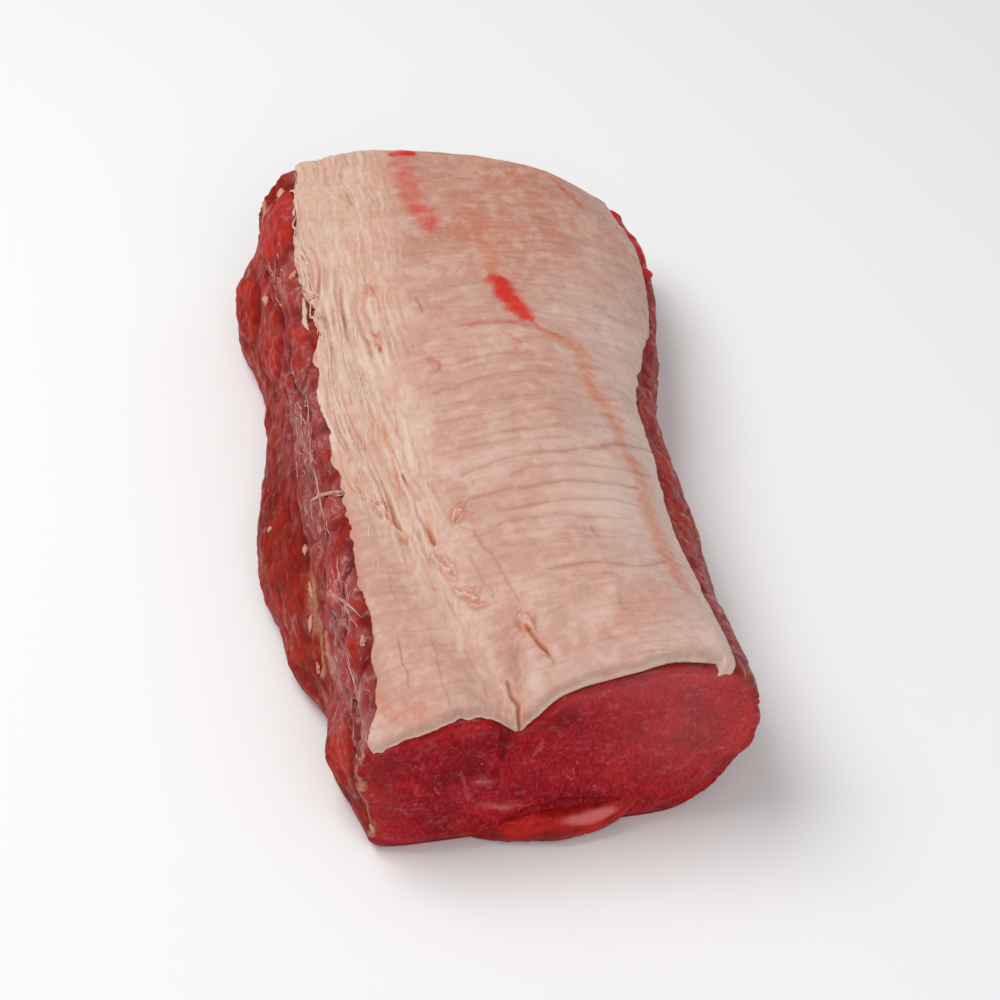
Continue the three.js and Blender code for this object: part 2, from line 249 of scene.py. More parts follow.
@dataclass(frozen=True)
class LoinForm:
    """The loin's outer skin, with the same sizes and curves as its solids."""

    length: float = 401
    crest_height: float = 91
    near_crest: float = 4.5
    plateau_height: float = 83
    far_fall: float = 12.5
    centre_x: float = -3.4
    near_face: float = -196.3
    foot_left: float = 85
    bulge_left: float = 96
    seam_left: float = 92
    shoulder_left: float = 87
    rim_left: float = 76
    side_swell: float = 17
    far_swell: float = 8
    foot_right: float = 62
    low_right: float = 77
    flank_right: float = 83
    crown_right: float = 52
    rim_right: float = 70
    flare: float = 24
    hollow_depth: float = 12
    hollow_reach: float = 14
    hollow_x: float = -21
    hollow_shift: float = 29
    edge_round: float = 3
    far_skew: float = 22
    face_relief: float = 1.2
    face_swell: float = 4
    face_middle: float = 40
    lump: float = 1.1
    fat_full: float = 7
    fat_edge: float = 2.6
    fat_lip: float = 2.2
    fat_feather: float = 18
    cap_gap: float = 0.3
    lip_lift: float = 0.7
    lip_reach: float = 7
    far_reach: float = 7
    far_drape: float = 9

    @property
    def body_length(self) -> float:
        """The skin's length between the bends of its two ends."""
        return self.length - 2 * self.edge_round

    def rails(self, t: Field) -> Field:
        """Places the rails that a section passes through.

        Args:
            t: Share of the loin's length.

        Returns:
            The rails' x and z, clockwise from the left foot as seen from the near end.
        """
        near, corner = 1 - smooth(t, 0, 0.25), 1 - smooth(t, 0, 0.09)
        far, flare = smooth(t, 0.45, 0.82), smooth(t, 0.48, 0.88)
        last, tuck = smooth(t, 0.88, 1), smooth(t, 0.96, 1)
        fall = self.far_fall * smooth(t, 0.4, 1)
        swell = (
            self.side_swell * hump(t, 0.43, 0.18)
            + self.far_swell * hump(t, 0.87, 0.1)
            + 3 * hump(t, 0.26, 0.04)
            - 4 * hump(t, 0.17, 0.04)
        )
        flank = self.flank_right + 2.5 * hump(t, 0.28, 0.2) + self.flare * flare - 4 * last
        rim = self.rim_left + 8 * corner - 6 * smooth(t, 0.76, 0.9) - 4 * last
        values = [
            -(self.foot_left + swell - 6 * corner - 7 * tuck), 0 * t,
            -(self.bulge_left + swell - 10 * corner - 9 * tuck), 20,
            -(self.seam_left + 0.25 * swell - 4 * corner - 4 * tuck), 42,
            -(self.shoulder_left + 0.1 * swell - 3 * last), 60 - 4 * near,
            -rim, 79 - 13 * near**2 - last,
            -52, self.plateau_height - 3 * near**2 - 2.5 * last,
            -22, 88 - 3 * near - 0.5 * fall,
            20 + 13 * near, self.crest_height + self.near_crest * near - fall,
            self.crown_right + 7 * near + 8 * far, 81 + 12 * near - 0.75 * fall,
            self.rim_right + near + self.flare * far - 8 * last, 66 + 18 * near - 9 * far - 2 * last,
            flank, 42 + 18 * near - 3 * far,
            self.low_right + 22 * flare - 6 * last, 17 + 13 * near,
            self.foot_right - 15 * near + 16 * far - 5 * last, 0,
            -12, 0,
        ]  # fmt: skip
        spread = [np.broadcast_to(value, t.shape) for value in values]
        return np.stack(spread, -1).reshape(*t.shape, RAILS, 2)

    def section(self, place: Field, t: Field) -> tuple[Field, Field]:
        """Finds points of the section curve.

        Args:
            place: Place between the rails.
            t: Share of the loin's length.

        Returns:
            The points' x and z, and the outward direction there.
        """
        rails = self.rails(t)
        turned = np.mod(place, RAILS)
        first = np.minimum(np.floor(turned).astype(int), RAILS - 1)
        a, b, c, d = (
            np.take_along_axis(rails, ((first + step) % RAILS)[..., None, None], -2)[..., 0, :]
            for step in (-1, 0, 1, 2)
        )
        w = (turned - first)[..., None]
        start, end = 0.5 * (c - a), 0.5 * (d - b)
        point = (
            (2 * w**3 - 3 * w**2 + 1) * b + (w**3 - 2 * w**2 + w) * start
            + (3 * w**2 - 2 * w**3) * c + (w**3 - w**2) * end
        )  # fmt: skip
        slope = (6 * w**2 - 6 * w) * (b - c) + (3 * w**2 - 4 * w + 1) * start + (3 * w**2 - 2 * w) * end
        slope /= np.linalg.norm(slope, axis=-1, keepdims=True)
        return point, np.stack([-slope[..., 1], slope[..., 0]], -1)

    def fat_edges(self, t: Field) -> tuple[Field, Field]:
        """Finds where the fat's two long edges run, as places between the rails."""
        notches = 6 * hump(t, 0.64, 0.022) + 3.5 * hump(t, 0.57, 0.02) + 3.5 * hump(t, 0.152, 0.03)
        left = notches - 2.5 * hump(t, 0.53, 0.02) + 1.2 * wander(26 * t, 1)
        right = 1.4 * wander(22 * t, 2) + self.far_drape * smooth(t, 0.5, 0.78)
        return LEFT_RIM + left / RAIL_SPACING, RIGHT_RIM + right / RAIL_SPACING

    def fat_thickness(self, place: Field, t: Field) -> Field:
        """Finds how thick the fat is."""
        left, right = self.fat_edges(t)
        inset = RAIL_SPACING * np.minimum(place - left, right - place)
        full = self.fat_full + 0.8 * wander(9 * t + place, 4)
        return self.fat_edge + (full - self.fat_edge) * smooth(inset, 0, self.fat_feather)

    def lean_depth(self, place: Field, t: Field) -> Field:
        """Finds how deep the lean lies under the outer skin."""
        left, right = self.fat_edges(t)
        beside = RAIL_SPACING * np.maximum(left - place, place - right)
        shallow = (self.fat_edge + self.cap_gap) * (1 - smooth(beside, 0, 14))
        return np.where(beside < 0, self.fat_thickness(place, t) + self.cap_gap, shallow)

    def share_at(self, along: Field) -> Field:
        """Finds the share of the length that a place along the skin lies at."""
        return (self.edge_round + np.clip(along, 0, self.body_length)) / self.length

    def skin(self, place: Field, along: Field, depth: Field) -> Field:
        """Finds points at some depth under the loin's outer skin.

        Args:
            place: Place between the rails, round the section.
            along: Place from the near bend to the far one; the skin rolls over the ends outside them.
            depth: Depth under the skin.

        Returns:
            The points, in the solids' own frame.
        """
        t = self.share_at(along)
        point, out = self.section(place, t)
        x, z = point[..., 0], point[..., 1]
        line = self.hollow_x - self.hollow_shift * (1 - np.exp(-t / 0.18))
        deep = self.hollow_depth * (0.25 + 0.75 * np.exp(-t / 0.12)) * (1 - smooth(t, 0.5, 0.85))
        hollow = deep * np.exp(-(((x - line) / (self.hollow_reach + 8 * smooth(t, 0, 0.3))) ** 2))
        turned = np.mod(place, RAILS)
        hollow = np.where((turned < LEFT_RIM) | (turned > RIGHT_RIM), 0, hollow)
        lump = self.lump * wander(0.9 * place + 11 * t, 5) * smooth(z, 3, 22)
        past = np.maximum(np.maximum(-along, along - self.body_length), 0)
        bend = self.lean_depth(place, t) + self.edge_round
        angle = np.minimum(past / bend, math.pi / 2)
        down = np.maximum(past - bend * math.pi / 2, 0)
        reach = bend - depth
        move = lump - hollow + reach * np.cos(angle) - bend - down
        y = t * self.length + np.where(along < 0, -1, 1) * reach * np.sin(angle)
        return self.settle(np.stack([x + out[..., 0] * move, y, z + out[..., 1] * move], -1))

    def settle(self, points: Field) -> Field:
        """Skews the far face, and puts the origin under the middle of the loin."""
        x, y, z = points[..., 0], points[..., 1], points[..., 2]
        skew = (self.far_skew / self.length) * smooth(x, -20, 110)
        return np.stack([x - self.centre_x, y * (1 - skew) + self.near_face, np.maximum(z, 0)], -1)


# Meshes


@dataclass
class Shell:
    """A closed surface being gathered from grids and other patches of points."""

    points: list[Field] = field(default_factory=list)
    masks: dict[Masks, list[Field]] = field(default_factory=lambda: {mask: [] for mask in Masks})
    faces: list[Field] = field(default_factory=list)
    places: list[Field] = field(default_factory=list)
    count: int = 0

    def add_points(self, points: Field, masks: dict[Masks, Field]) -> Field:
        """Adds points with their masks.

        Args:
            points: The points, in an array of any shape whose last axis is x, y and z.
            masks: The three masks of each attribute, in arrays of the same shape.

        Returns:
            The points' numbers, in the array's shape.
        """
        flat = points.reshape(-1, 3)
        self.points.append(flat)
        for mask in Masks:
            given = masks.get(mask)
            self.masks[mask].append(np.zeros(flat.shape) if given is None else given.reshape(-1, 3))
        numbers = self.count + np.arange(len(flat)).reshape(points.shape[:-1])
        self.count += len(flat)
        return numbers

    def add_triangles(self, triangles: Field, places: Field) -> None:
        """Adds triangles of point numbers, with the corners' places on the flat map."""
        self.faces.append(triangles.reshape(-1, 3))
        self.places.append(places.reshape(-1, 3, 2))

    def add_grid(self, numbers: Field, u: Field, v: Field, flip: bool = False) -> None:
        """Adds two triangles for each cell of a grid.

        Args:
            numbers: The points' numbers, by row and column.
            u: Each column's place across the flat map.
            v: Each row's place up the flat map.
            flip: Whether the faces point the other way.
        """
        flat = np.stack(np.broadcast_arrays(u[None, :], v[:, None]), -1)
        corners = [(slice(None, -1), slice(None, -1)), (slice(None, -1), slice(1, None)),
                   (slice(1, None), slice(1, None)), (slice(1, None), slice(None, -1))]  # fmt: skip
        if flip:
            corners.reverse()
        for order in ((0, 1, 2), (0, 2, 3)):
            triangles = np.stack([numbers[corners[i]] for i in order], -1)
            places = np.stack([flat[corners[i]] for i in order], -2)
            self.add_triangles(triangles, places)

    def all_points(self) -> Field:
        """Joins the points so far, in millimetres."""
        return np.vstack(self.points)

    def normals(self) -> Field:
        """Finds the direction that each point faces."""
        points, faces = self.all_points(), np.vstack(self.faces)
        cross = np.cross(points[faces[:, 1]] - points[faces[:, 0]], points[faces[:, 2]] - points[faces[:, 0]])
        total = np.zeros_like(points)
        for corner in range(3):
            np.add.at(total, faces[:, corner], cross)
        return total / np.maximum(np.linalg.norm(total, axis=1, keepdims=True), 1e-9)

    def piece(self, name: str, material: bpy.types.Material, slot: Slot) -> bpy.types.Object:
        """Makes the piece, which rides on the loin's one body.

        Args:
            name: The piece's name.
            material: Its finish.
            slot: Not used.

        Returns:
            The new object.
        """
        points, faces = self.all_points() * MM, np.vstack(self.faces)
        mesh = bpy.data.meshes.new(name)
        mesh.vertices.add(len(points))
        mesh.vertices.foreach_set("co", points.astype(np.float32).ravel())
        mesh.loops.add(faces.size)
        mesh.loops.foreach_set("vertex_index", faces.astype(np.int32).ravel())
        mesh.polygons.add(len(faces))
        mesh.polygons.foreach_set("loop_start", np.arange(0, faces.size, 3, dtype=np.int32))
        mesh.polygons.foreach_set("use_smooth", np.ones(len(faces), bool))
        mesh.update(calc_edges=True)
        mesh.validate()
        for mask in Masks:
            values = np.ones((len(points), 4), np.float32)
            values[:, :3] = np.vstack(self.masks[mask])
            mesh.attributes.new(mask.value, "FLOAT_COLOR", "POINT").data.foreach_set("color", values.ravel())
        flat_map = mesh.uv_layers.new(name="OFBake")
        flat_map.data.foreach_set("uv", np.vstack(self.places).astype(np.float32).ravel())
        mesh.materials.append(material)
        made = bpy.data.objects.new(name, mesh)
        bpy.context.scene.collection.objects.link(made)
        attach(made, "root")
        log.info("%s: %d points, %d faces", name, len(points), len(faces))
        return made


def spread(values: Field) -> Field:
    """Stretches rising values over 0 to 1."""
    return (values - values[0]) / (values[-1] - values[0])


# Node trees


@dataclass
class Recipe:
    """A node tree being filled in, with short ways to add the nodes that the finishes need."""

    tree: bpy.types.NodeTree

    def node(self, kind: str, **settings: object) -> bpy.types.Node:
        """Adds a node of a kind, with its settings."""
        made = self.tree.nodes.new("ShaderNode" + kind)
        for name, value in settings.items():
            setattr(made, name, value)
        return made

    def feed(self, socket: bpy.types.NodeSocket, value: object) -> None:
        """Joins a socket to another one, or gives it a plain value."""
        if isinstance(value, bpy.types.NodeSocket):
            self.tree.links.new(value, socket)
        else:
            socket.default_value = value

    def maths(self, operation: str, *values: object) -> bpy.types.NodeSocket:
        """Works out one value from others."""
        made = self.node("Math", operation=operation)
        for socket, value in zip(made.inputs, values):
            self.feed(socket, value)
        return made.outputs[0]

    def times(self, first: object, second: object) -> bpy.types.NodeSocket:
        """Multiplies two values."""
        return self.maths("MULTIPLY", first, second)

    def swayed(self, scale: float, sway: object) -> bpy.types.NodeSocket:
        """Gives the place on the loin, moved about a little by noise."""
        place = self.node("TexCoord").outputs["Object"]
        noise = self.node("TexNoise")
        self.feed(noise.inputs["Vector"], place)
        self.feed(noise.inputs["Scale"], scale)
        scaled = self.node("VectorMath", operation="SCALE")
        self.feed(scaled.inputs[0], noise.outputs["Color"])
        self.feed(scaled.inputs["Scale"], sway)
        moved = self.node("VectorMath", operation="ADD")
        self.feed(moved.inputs[0], place)
        self.feed(moved.inputs[1], scaled.outputs[0])
        return moved.outputs[0]

    def mix(self, share: object, first: object, second: object) -> bpy.types.NodeSocket:
        """Mixes two colours."""
        made = self.node("Mix", data_type="RGBA")
        for index, value in ((0, share), (6, first), (7, second)):
            self.feed(made.inputs[index], (*value, 1) if isinstance(value, tuple) else value)
        return made.outputs[2]

    def span(self, value: object, low: object, high: object, start: float = 0, end: float = 1) -> bpy.types.NodeSocket:
        """Takes a value smoothly from one range into another."""
        made = self.node("MapRange", interpolation_type="SMOOTHSTEP")
        for index, given in enumerate((value, low, high, start, end)):
            self.feed(made.inputs[index], given)
        return made.outputs[0]

    def noise(self, vector: object, scale: object, detail: float = 3, rough: float = 0.55) -> bpy.types.NodeSocket:
        """Adds noise with waves of about one in scale of a metre."""
        made = self.node("TexNoise")
        for name, value in (("Vector", vector), ("Scale", scale), ("Detail", detail), ("Roughness", rough)):
            self.feed(made.inputs[name], value)
        return made.outputs["Fac"]

    def masks(self, name: Masks) -> list[bpy.types.NodeSocket]:
        """Reads the three masks of a surface's attribute."""
        read = self.node("Attribute", attribute_name=name.value)
        parts = self.node("SeparateColor")
        self.feed(parts.inputs[0], read.outputs["Color"])
        return list(parts.outputs)

    def effect(self, group: bpy.types.NodeTree, **values: object) -> bpy.types.NodeSocket:
        """Places a shared effect with this finish's own values, and gives its first output."""
        made = self.node("Group", node_tree=group)
        for name, value in values.items():
            self.feed(made.inputs[name.replace("_", " ").capitalize()], value)
        return made.outputs[0]


def new_effect(name: str, inputs: dict[str, float]) -> tuple[Recipe, bpy.types.Node, bpy.types.Node]:
    """Starts a shared shader effect that puts out one value.

    Args:
        name: The effect's name.
        inputs: Its inputs and their usual values.

    Returns:
        The recipe to fill in, and its input and output nodes.
    """
    tree = bpy.data.node_groups.new(name, "ShaderNodeTree")
    for label, value in inputs.items():
        tree.interface.new_socket(name=label, in_out="INPUT", socket_type="NodeSocketFloat").default_value = value
    tree.interface.new_socket(name="Value", in_out="OUTPUT", socket_type="NodeSocketFloat")
    return Recipe(tree), tree.nodes.new("NodeGroupInput"), tree.nodes.new("NodeGroupOutput")


@dataclass
class Effects:
    """The shared shader effects, each built once."""

    mottle: bpy.types.NodeTree = field(init=False)
    fibres: bpy.types.NodeTree = field(init=False)
    ragged: bpy.types.NodeTree = field(init=False)
    squiggles: bpy.types.NodeTree = field(init=False)

    def __post_init__(self) -> None:
        """Builds every effect."""
        self.mottle = self.build_mottle()
        self.fibres = self.build_fibres()
        self.ragged = self.build_ragged()
        self.squiggles = self.build_squiggles()

    def build_mottle(self) -> bpy.types.NodeTree:
        """Builds soft, cloudy patches from 0 to 1."""
        recipe, given, out = new_effect("cloudy_mottle", {"Scale": 60, "Low": 0.4, "High": 0.62})
        place = recipe.node("TexCoord").outputs["Object"]
        cloud = recipe.noise(place, given.outputs["Scale"], 3)
        recipe.feed(out.inputs[0], recipe.span(cloud, given.outputs["Low"], given.outputs["High"]))
        return recipe.tree

    def build_fibres(self) -> bpy.types.NodeTree:
        """Builds fibres of a given fineness across, along and up the loin, from 0 to 1."""
        usual = {"Across": 700, "Along": 40, "Upward": 700, "Sway": 0.004}
        recipe, given, out = new_effect("drawn_fibres", usual)
        place = recipe.swayed(30.0, given.outputs["Sway"])
        stretch = recipe.node("CombineXYZ")
        for index, name in enumerate(("Across", "Along", "Upward")):
            recipe.feed(stretch.inputs[index], given.outputs[name])
        long = recipe.node("VectorMath", operation="MULTIPLY")
        recipe.feed(long.inputs[0], place)
        recipe.feed(long.inputs[1], stretch.outputs[0])
        recipe.feed(out.inputs[0], recipe.noise(long.outputs[0], 1.0, 3, 0.6))
        return recipe.tree

    def build_ragged(self) -> bpy.types.NodeTree:
        """Builds a mask whose soft edge is broken up by noise."""
        recipe, given, out = new_effect("ragged_mask", {"Mask": 0, "Scale": 220, "Rag": 0.8, "Soft": 0.35})
        place = recipe.node("TexCoord").outputs["Object"]
        cloud = recipe.maths("SUBTRACT", recipe.noise(place, given.outputs["Scale"], 4, 0.65), 0.5)
        swing = recipe.maths("MULTIPLY", cloud, given.outputs["Rag"])
        held = recipe.maths("MULTIPLY", swing, recipe.span(given.outputs["Mask"], 0.02, 0.2))
        total = recipe.maths("ADD", given.outputs["Mask"], held)
        low = recipe.maths("SUBTRACT", 0.5, given.outputs["Soft"])
        high = recipe.maths("ADD", 0.5, given.outputs["Soft"])
        recipe.feed(out.inputs[0], recipe.span(total, low, high))
        return recipe.tree

    def build_squiggles(self) -> bpy.types.NodeTree:
        """Builds short, thin, wandering lines, which are 1 on the lines."""
        recipe, given, out = new_effect("short_squiggles", {"Scale": 110, "Width": 0.015, "Cover": 0.5})
        place = recipe.swayed(200.0, 0.003)
        level = recipe.noise(place, given.outputs["Scale"], 1.5)
        away = recipe.maths("ABSOLUTE", recipe.maths("SUBTRACT", level, 0.5))
        line = recipe.maths("SUBTRACT", 1.0, recipe.span(away, 0.0, given.outputs["Width"]))
        finer = recipe.maths("MULTIPLY", given.outputs["Scale"], 2.3)
        kept = recipe.noise(place, finer, 2)
        low = recipe.maths("SUBTRACT", 1.0, given.outputs["Cover"])
        held = recipe.span(kept, low, recipe.maths("ADD", low, 0.07))
        recipe.feed(out.inputs[0], recipe.maths("MULTIPLY", line, held))
        return recipe.tree



def new_finish(name: str) -> tuple[Recipe, bpy.types.Material, bpy.types.Node]:
    """Starts a material.

    Args:
        name: The material's name.

    Returns:
        The recipe to fill in, the material, and its main shader.
    """
    material = bpy.data.materials.new(name)
    material.use_nodes = True
    recipe = Recipe(material.node_tree)
    return recipe, material, material.node_tree.nodes["Principled BSDF"]


def add_bump(recipe: Recipe, shader: bpy.types.Node, height: bpy.types.NodeSocket, depth: float) -> None:
    """Adds low relief to a finish.

    Args:
        recipe: The finish's nodes.
        shader: Its main shader.
        height: The relief, where 1 is the full depth.
        depth: The full depth, in millimetres.
    """
    bump = recipe.node("Bump")
    recipe.feed(bump.inputs["Strength"], 1.0)
    recipe.feed(bump.inputs["Distance"], depth * MM)
    recipe.feed(bump.inputs["Height"], height)
    recipe.feed(shader.inputs["Normal"], bump.outputs[0])


@dataclass(frozen=True)
class FatFinish:
    """Back fat: soft, satin, cream along the chine side and pinker over the middle."""

    rosy: Colour = (0.57, 0.33, 0.26)
    cream: Colour = (0.69, 0.45, 0.33)
    tan: Colour = (0.53, 0.225, 0.145)
    flank: Colour = (0.66, 0.475, 0.42)
    pink: Colour = (0.58, 0.225, 0.17)
    blood: Colour = (0.63, 0.014, 0.004)
    orange: Colour = (0.62, 0.165, 0.07)
    # Painted shade: the crease colour is laid into the wrinkle troughs, cracks, slits and hollows of the relief
    crease: Colour = (0.21, 0.055, 0.025)
    pale: Colour = (0.76, 0.57, 0.47)

    def build(self, effects: Effects) -> bpy.types.Material:
        """Builds the material."""
        recipe, material, shader = new_finish("back_fat")
        cream, tan, flank = recipe.masks(Masks.ZONES)
        blood, orange, pink = recipe.masks(Masks.TINTS)
        dark, pale, fibrous = recipe.masks(Masks.MARKS)
        colour = recipe.mix(tan, self.rosy, self.tan)
        colour = recipe.mix(flank, colour, self.flank)
        colour = recipe.mix(cream, colour, self.cream)
        for scale, low, high, share, tone in (
            (28.0, 0.45, 0.65, 0.2, self.pink),
            (46.0, 0.47, 0.68, 0.4, self.pale),
            (75.0, 0.5, 0.72, 0.28, self.tan),
            (240.0, 0.42, 0.66, 0.3, self.pink),
            (150.0, 0.46, 0.68, 0.34, self.pale),
        ):
            cloud = recipe.effect(effects.mottle, scale=scale, low=low, high=high)
            colour = recipe.mix(recipe.times(cloud, share), colour, tone)
        arcs = recipe.effect(effects.fibres, across=22.0, along=330.0, upward=22.0, sway=0.012)
        bare = recipe.span(fibrous, 0.0, 1.0, 1.0, 0.25)
        # Painted shade in the arcs' troughs and painted highlight on their ridges, following the same arcs as the bump
        line = recipe.times(recipe.times(recipe.span(arcs, 0.5, 0.3), 0.17), bare)
        colour = recipe.mix(line, colour, self.crease)
        arc_highlight = recipe.times(recipe.times(recipe.span(arcs, 0.52, 0.72), 0.16), bare)
        colour = recipe.mix(arc_highlight, colour, self.pale)
        pinker = recipe.effect(effects.ragged, mask=pink, scale=130.0, rag=0.8, soft=0.5)
        colour = recipe.mix(recipe.times(pinker, 0.6), colour, self.pink)
        fibre = recipe.effect(effects.fibres, across=520.0, along=22.0, upward=300.0, sway=0.016)
        streak = recipe.times(recipe.span(fibre, 0.5, 0.7), recipe.span(fibrous, 0.0, 1.0, 0.08, 0.75))
        colour = recipe.mix(streak, colour, self.pale)
        groove = recipe.times(recipe.span(fibre, 0.46, 0.3), recipe.span(fibrous, 0.0, 1.0, 0.06, 0.7))
        colour = recipe.mix(groove, colour, self.pink)
        flecked = recipe.effect(effects.ragged, mask=orange, scale=260.0, rag=1.2, soft=0.5)
        colour = recipe.mix(recipe.times(flecked, 0.85), colour, self.orange)
        stained = recipe.effect(effects.ragged, mask=blood, scale=130.0, rag=0.9, soft=0.4)
        colour = recipe.mix(recipe.times(stained, 0.95), colour, self.blood)
        worms = recipe.effect(effects.squiggles, scale=70.0, width=0.012, cover=0.42)
        colour = recipe.mix(recipe.times(worms, 0.16), colour, self.orange)
        # The pale mark: the fat's own pale fibres and patches, with painted highlight on raised lips, flake tops and
        # the near lip
        colour = recipe.mix(pale, colour, self.pale)
        # Painted shade in the wrinkles, cracks, slits and hollows of the relief
        colour = recipe.mix(dark, colour, self.crease)
        recipe.feed(shader.inputs["Base Color"], colour)
        small = recipe.effect(effects.mottle, scale=240.0, low=0.42, high=0.66)
        recipe.feed(shader.inputs["Roughness"], recipe.span(small, 0.0, 1.0, 0.46, 0.6))
        drawn = recipe.times(fibre, recipe.span(fibrous, 0, 1, 0.15, 1.0))
        height = recipe.maths("ADD", drawn, recipe.times(arcs, 0.5))
        pores = recipe.effect(effects.mottle, scale=700.0, low=0.3, high=0.7)
        add_bump(recipe, shader, recipe.maths("ADD", height, recipe.times(pores, 0.12)), 0.35)
        shader.inputs["Specular IOR Level"].default_value = 0.25
        shader.inputs["Subsurface Weight"].default_value = 0.1
        shader.inputs["Subsurface Radius"].default_value = (1.0, 0.45, 0.3)
        shader.inputs["Subsurface Scale"].default_value = 0.0015
        return material


@dataclass(frozen=True)
class LeanFinish:
    """Raw lean: moist and dark red, with silverskin on its sides and marbling in its cut faces."""

    side: Colour = (0.37, 0.021, 0.006)
    deep: Colour = (0.14, 0.004, 0.003)
    cut: Colour = (0.37, 0.005, 0.015)
    bright: Colour = (0.57, 0.016, 0.012)
    film: Colour = (0.33, 0.088, 0.092)
    thread: Colour = (0.62, 0.36, 0.32)
    fat: Colour = (0.58, 0.31, 0.19)
    fleck: Colour = (0.70, 0.16, 0.165)
    # A pinkish red used for the cut face's pink patches and for its painted sheen
    bloom_and_sheen: Colour = (0.50, 0.028, 0.050)

    def build(self, effects: Effects) -> bpy.types.Material:
        """Builds the material."""
        recipe, material, shader = new_finish("raw_lean")
        cut, film, bright = recipe.masks(Masks.ZONES)
        fat, fleck, deep = recipe.masks(Masks.TINTS)
        dark, pale, wet = recipe.masks(Masks.MARKS)
        side = recipe.maths("SUBTRACT", 1.0, cut)
        colour = recipe.mix(cut, self.side, self.cut)
        colour = recipe.mix(bright, colour, self.bright)
        broad = recipe.effect(effects.mottle, scale=52.0, low=0.42, high=0.66)
        colour = recipe.mix(recipe.times(broad, 0.48), colour, self.deep)
        lighter = recipe.effect(effects.mottle, scale=78.0, low=0.48, high=0.7)
        colour = recipe.mix(recipe.times(lighter, recipe.span(cut, 0.0, 1.0, 0.3, 0.5)), colour, self.bright)
        # Pinkish patches over the cut face, in the same colour as its painted sheen
        bloom_and_sheen = recipe.effect(effects.mottle, scale=140.0, low=0.52, high=0.7)
        colour = recipe.mix(recipe.times(bloom_and_sheen, recipe.times(cut, 0.4)), colour, self.bloom_and_sheen)
        fibre = recipe.effect(effects.fibres, across=320.0, along=42.0, upward=320.0, sway=0.02)
        # Fibre streaks on the sides, darker in the troughs and lighter on the ridges of the same fibre bump: grain
        # colour with painted shade and painted highlight
        streak = recipe.times(recipe.span(fibre, 0.48, 0.3), recipe.times(side, 0.6))
        colour = recipe.mix(streak, colour, self.deep)
        lit = recipe.times(recipe.span(fibre, 0.55, 0.75), recipe.times(side, 0.3))
        colour = recipe.mix(lit, colour, self.bright)
        grain = recipe.effect(effects.fibres, across=850.0, along=620.0, upward=480.0, sway=0.02)
        # Painted sheen on the cut face's grain ridges and painted shade in its troughs, following the grain bump
        sheen = recipe.times(recipe.span(grain, 0.5, 0.66), recipe.times(cut, 0.62))
        colour = recipe.mix(sheen, colour, self.bloom_and_sheen)
        shade = recipe.times(recipe.span(grain, 0.5, 0.34), recipe.times(cut, 0.6))
        colour = recipe.mix(shade, colour, self.deep)
        fine = recipe.effect(effects.squiggles, scale=130.0, width=0.02, cover=0.42)
        colour = recipe.mix(recipe.times(fine, recipe.times(cut, 0.4)), colour, self.fleck)
        bold = recipe.effect(effects.squiggles, scale=60.0, width=0.012, cover=0.36)
        colour = recipe.mix(recipe.times(bold, recipe.times(cut, 0.8)), colour, self.fleck)
        sheet = recipe.effect(effects.ragged, mask=film, scale=110.0, rag=1.0, soft=0.5)
        colour = recipe.mix(recipe.times(sheet, 0.7), colour, self.film)
        threads = recipe.effect(effects.fibres, across=420.0, along=110.0, upward=300.0, sway=0.05)
        thready = recipe.times(recipe.span(threads, 0.52, 0.66), sheet)
        colour = recipe.mix(recipe.times(thready, 0.5), colour, self.thread)
        web = recipe.effect(effects.squiggles, scale=95.0, width=0.02, cover=0.5)
        colour = recipe.mix(recipe.times(recipe.times(web, sheet), 0.4), colour, self.thread)
        # The deep mark: the lean's own darker patches, with painted shade in the relief's hollows
        colour = recipe.mix(deep, colour, self.deep)
        fatty = recipe.effect(effects.ragged, mask=fat, scale=240.0, rag=1.1, soft=0.45)
        colour = recipe.mix(fatty, colour, self.fat)
        colour = recipe.mix(fleck, colour, self.fleck)
        colour = recipe.mix(pale, colour, self.thread)
        # Painted shade in the side's seam groove, round its knots and in the cut face's creases
        colour = recipe.mix(dark, colour, self.deep)
        recipe.feed(shader.inputs["Base Color"], colour)
        shine = recipe.effect(effects.mottle, scale=240.0, low=0.35, high=0.7)
        recipe.feed(shader.inputs["Roughness"], recipe.span(shine, 0.0, 1.0, 0.4, 0.56))
        recipe.feed(shader.inputs["Coat Weight"], wet)
        shader.inputs["Coat Roughness"].default_value = 0.13
        runs = recipe.times(fibre, recipe.times(side, 1.3))
        ends = recipe.times(grain, recipe.times(cut, 0.8))
        height = recipe.maths("ADD", recipe.maths("ADD", runs, ends), recipe.times(web, recipe.times(sheet, 0.4)))
        add_bump(recipe, shader, height, 0.45)
        shader.inputs["Specular IOR Level"].default_value = 0.07
        shader.inputs["Subsurface Weight"].default_value = 0.05
        shader.inputs["Subsurface Radius"].default_value = (1.0, 0.15, 0.1)
        shader.inputs["Subsurface Scale"].default_value = 0.0015
        return material


@dataclass(frozen=True)
class StrandFinish:
    """Loose strands of silverskin and connective tissue."""

    colour: Colour = (0.60, 0.33, 0.28)
    tip: Colour = (0.46, 0.12, 0.10)

    def build(self, effects: Effects) -> bpy.types.Material:
        """Builds the material."""
        recipe, material, shader = new_finish("silverskin_strand")
        patches = recipe.effect(effects.mottle, scale=140.0, low=0.4, high=0.65)
        colour = recipe.mix(patches, self.colour, self.tip)
        recipe.feed(shader.inputs["Base Color"], colour)
        recipe.feed(shader.inputs["Roughness"], recipe.span(patches, 0.0, 1.0, 0.4, 0.55))
        shader.inputs["Specular IOR Level"].default_value = 0.3
        shader.inputs["Subsurface Weight"].default_value = 0.1
        shader.inputs["Subsurface Radius"].default_value = (1.0, 0.4, 0.3)
        shader.inputs["Subsurface Scale"].default_value = 0.0015
        return material


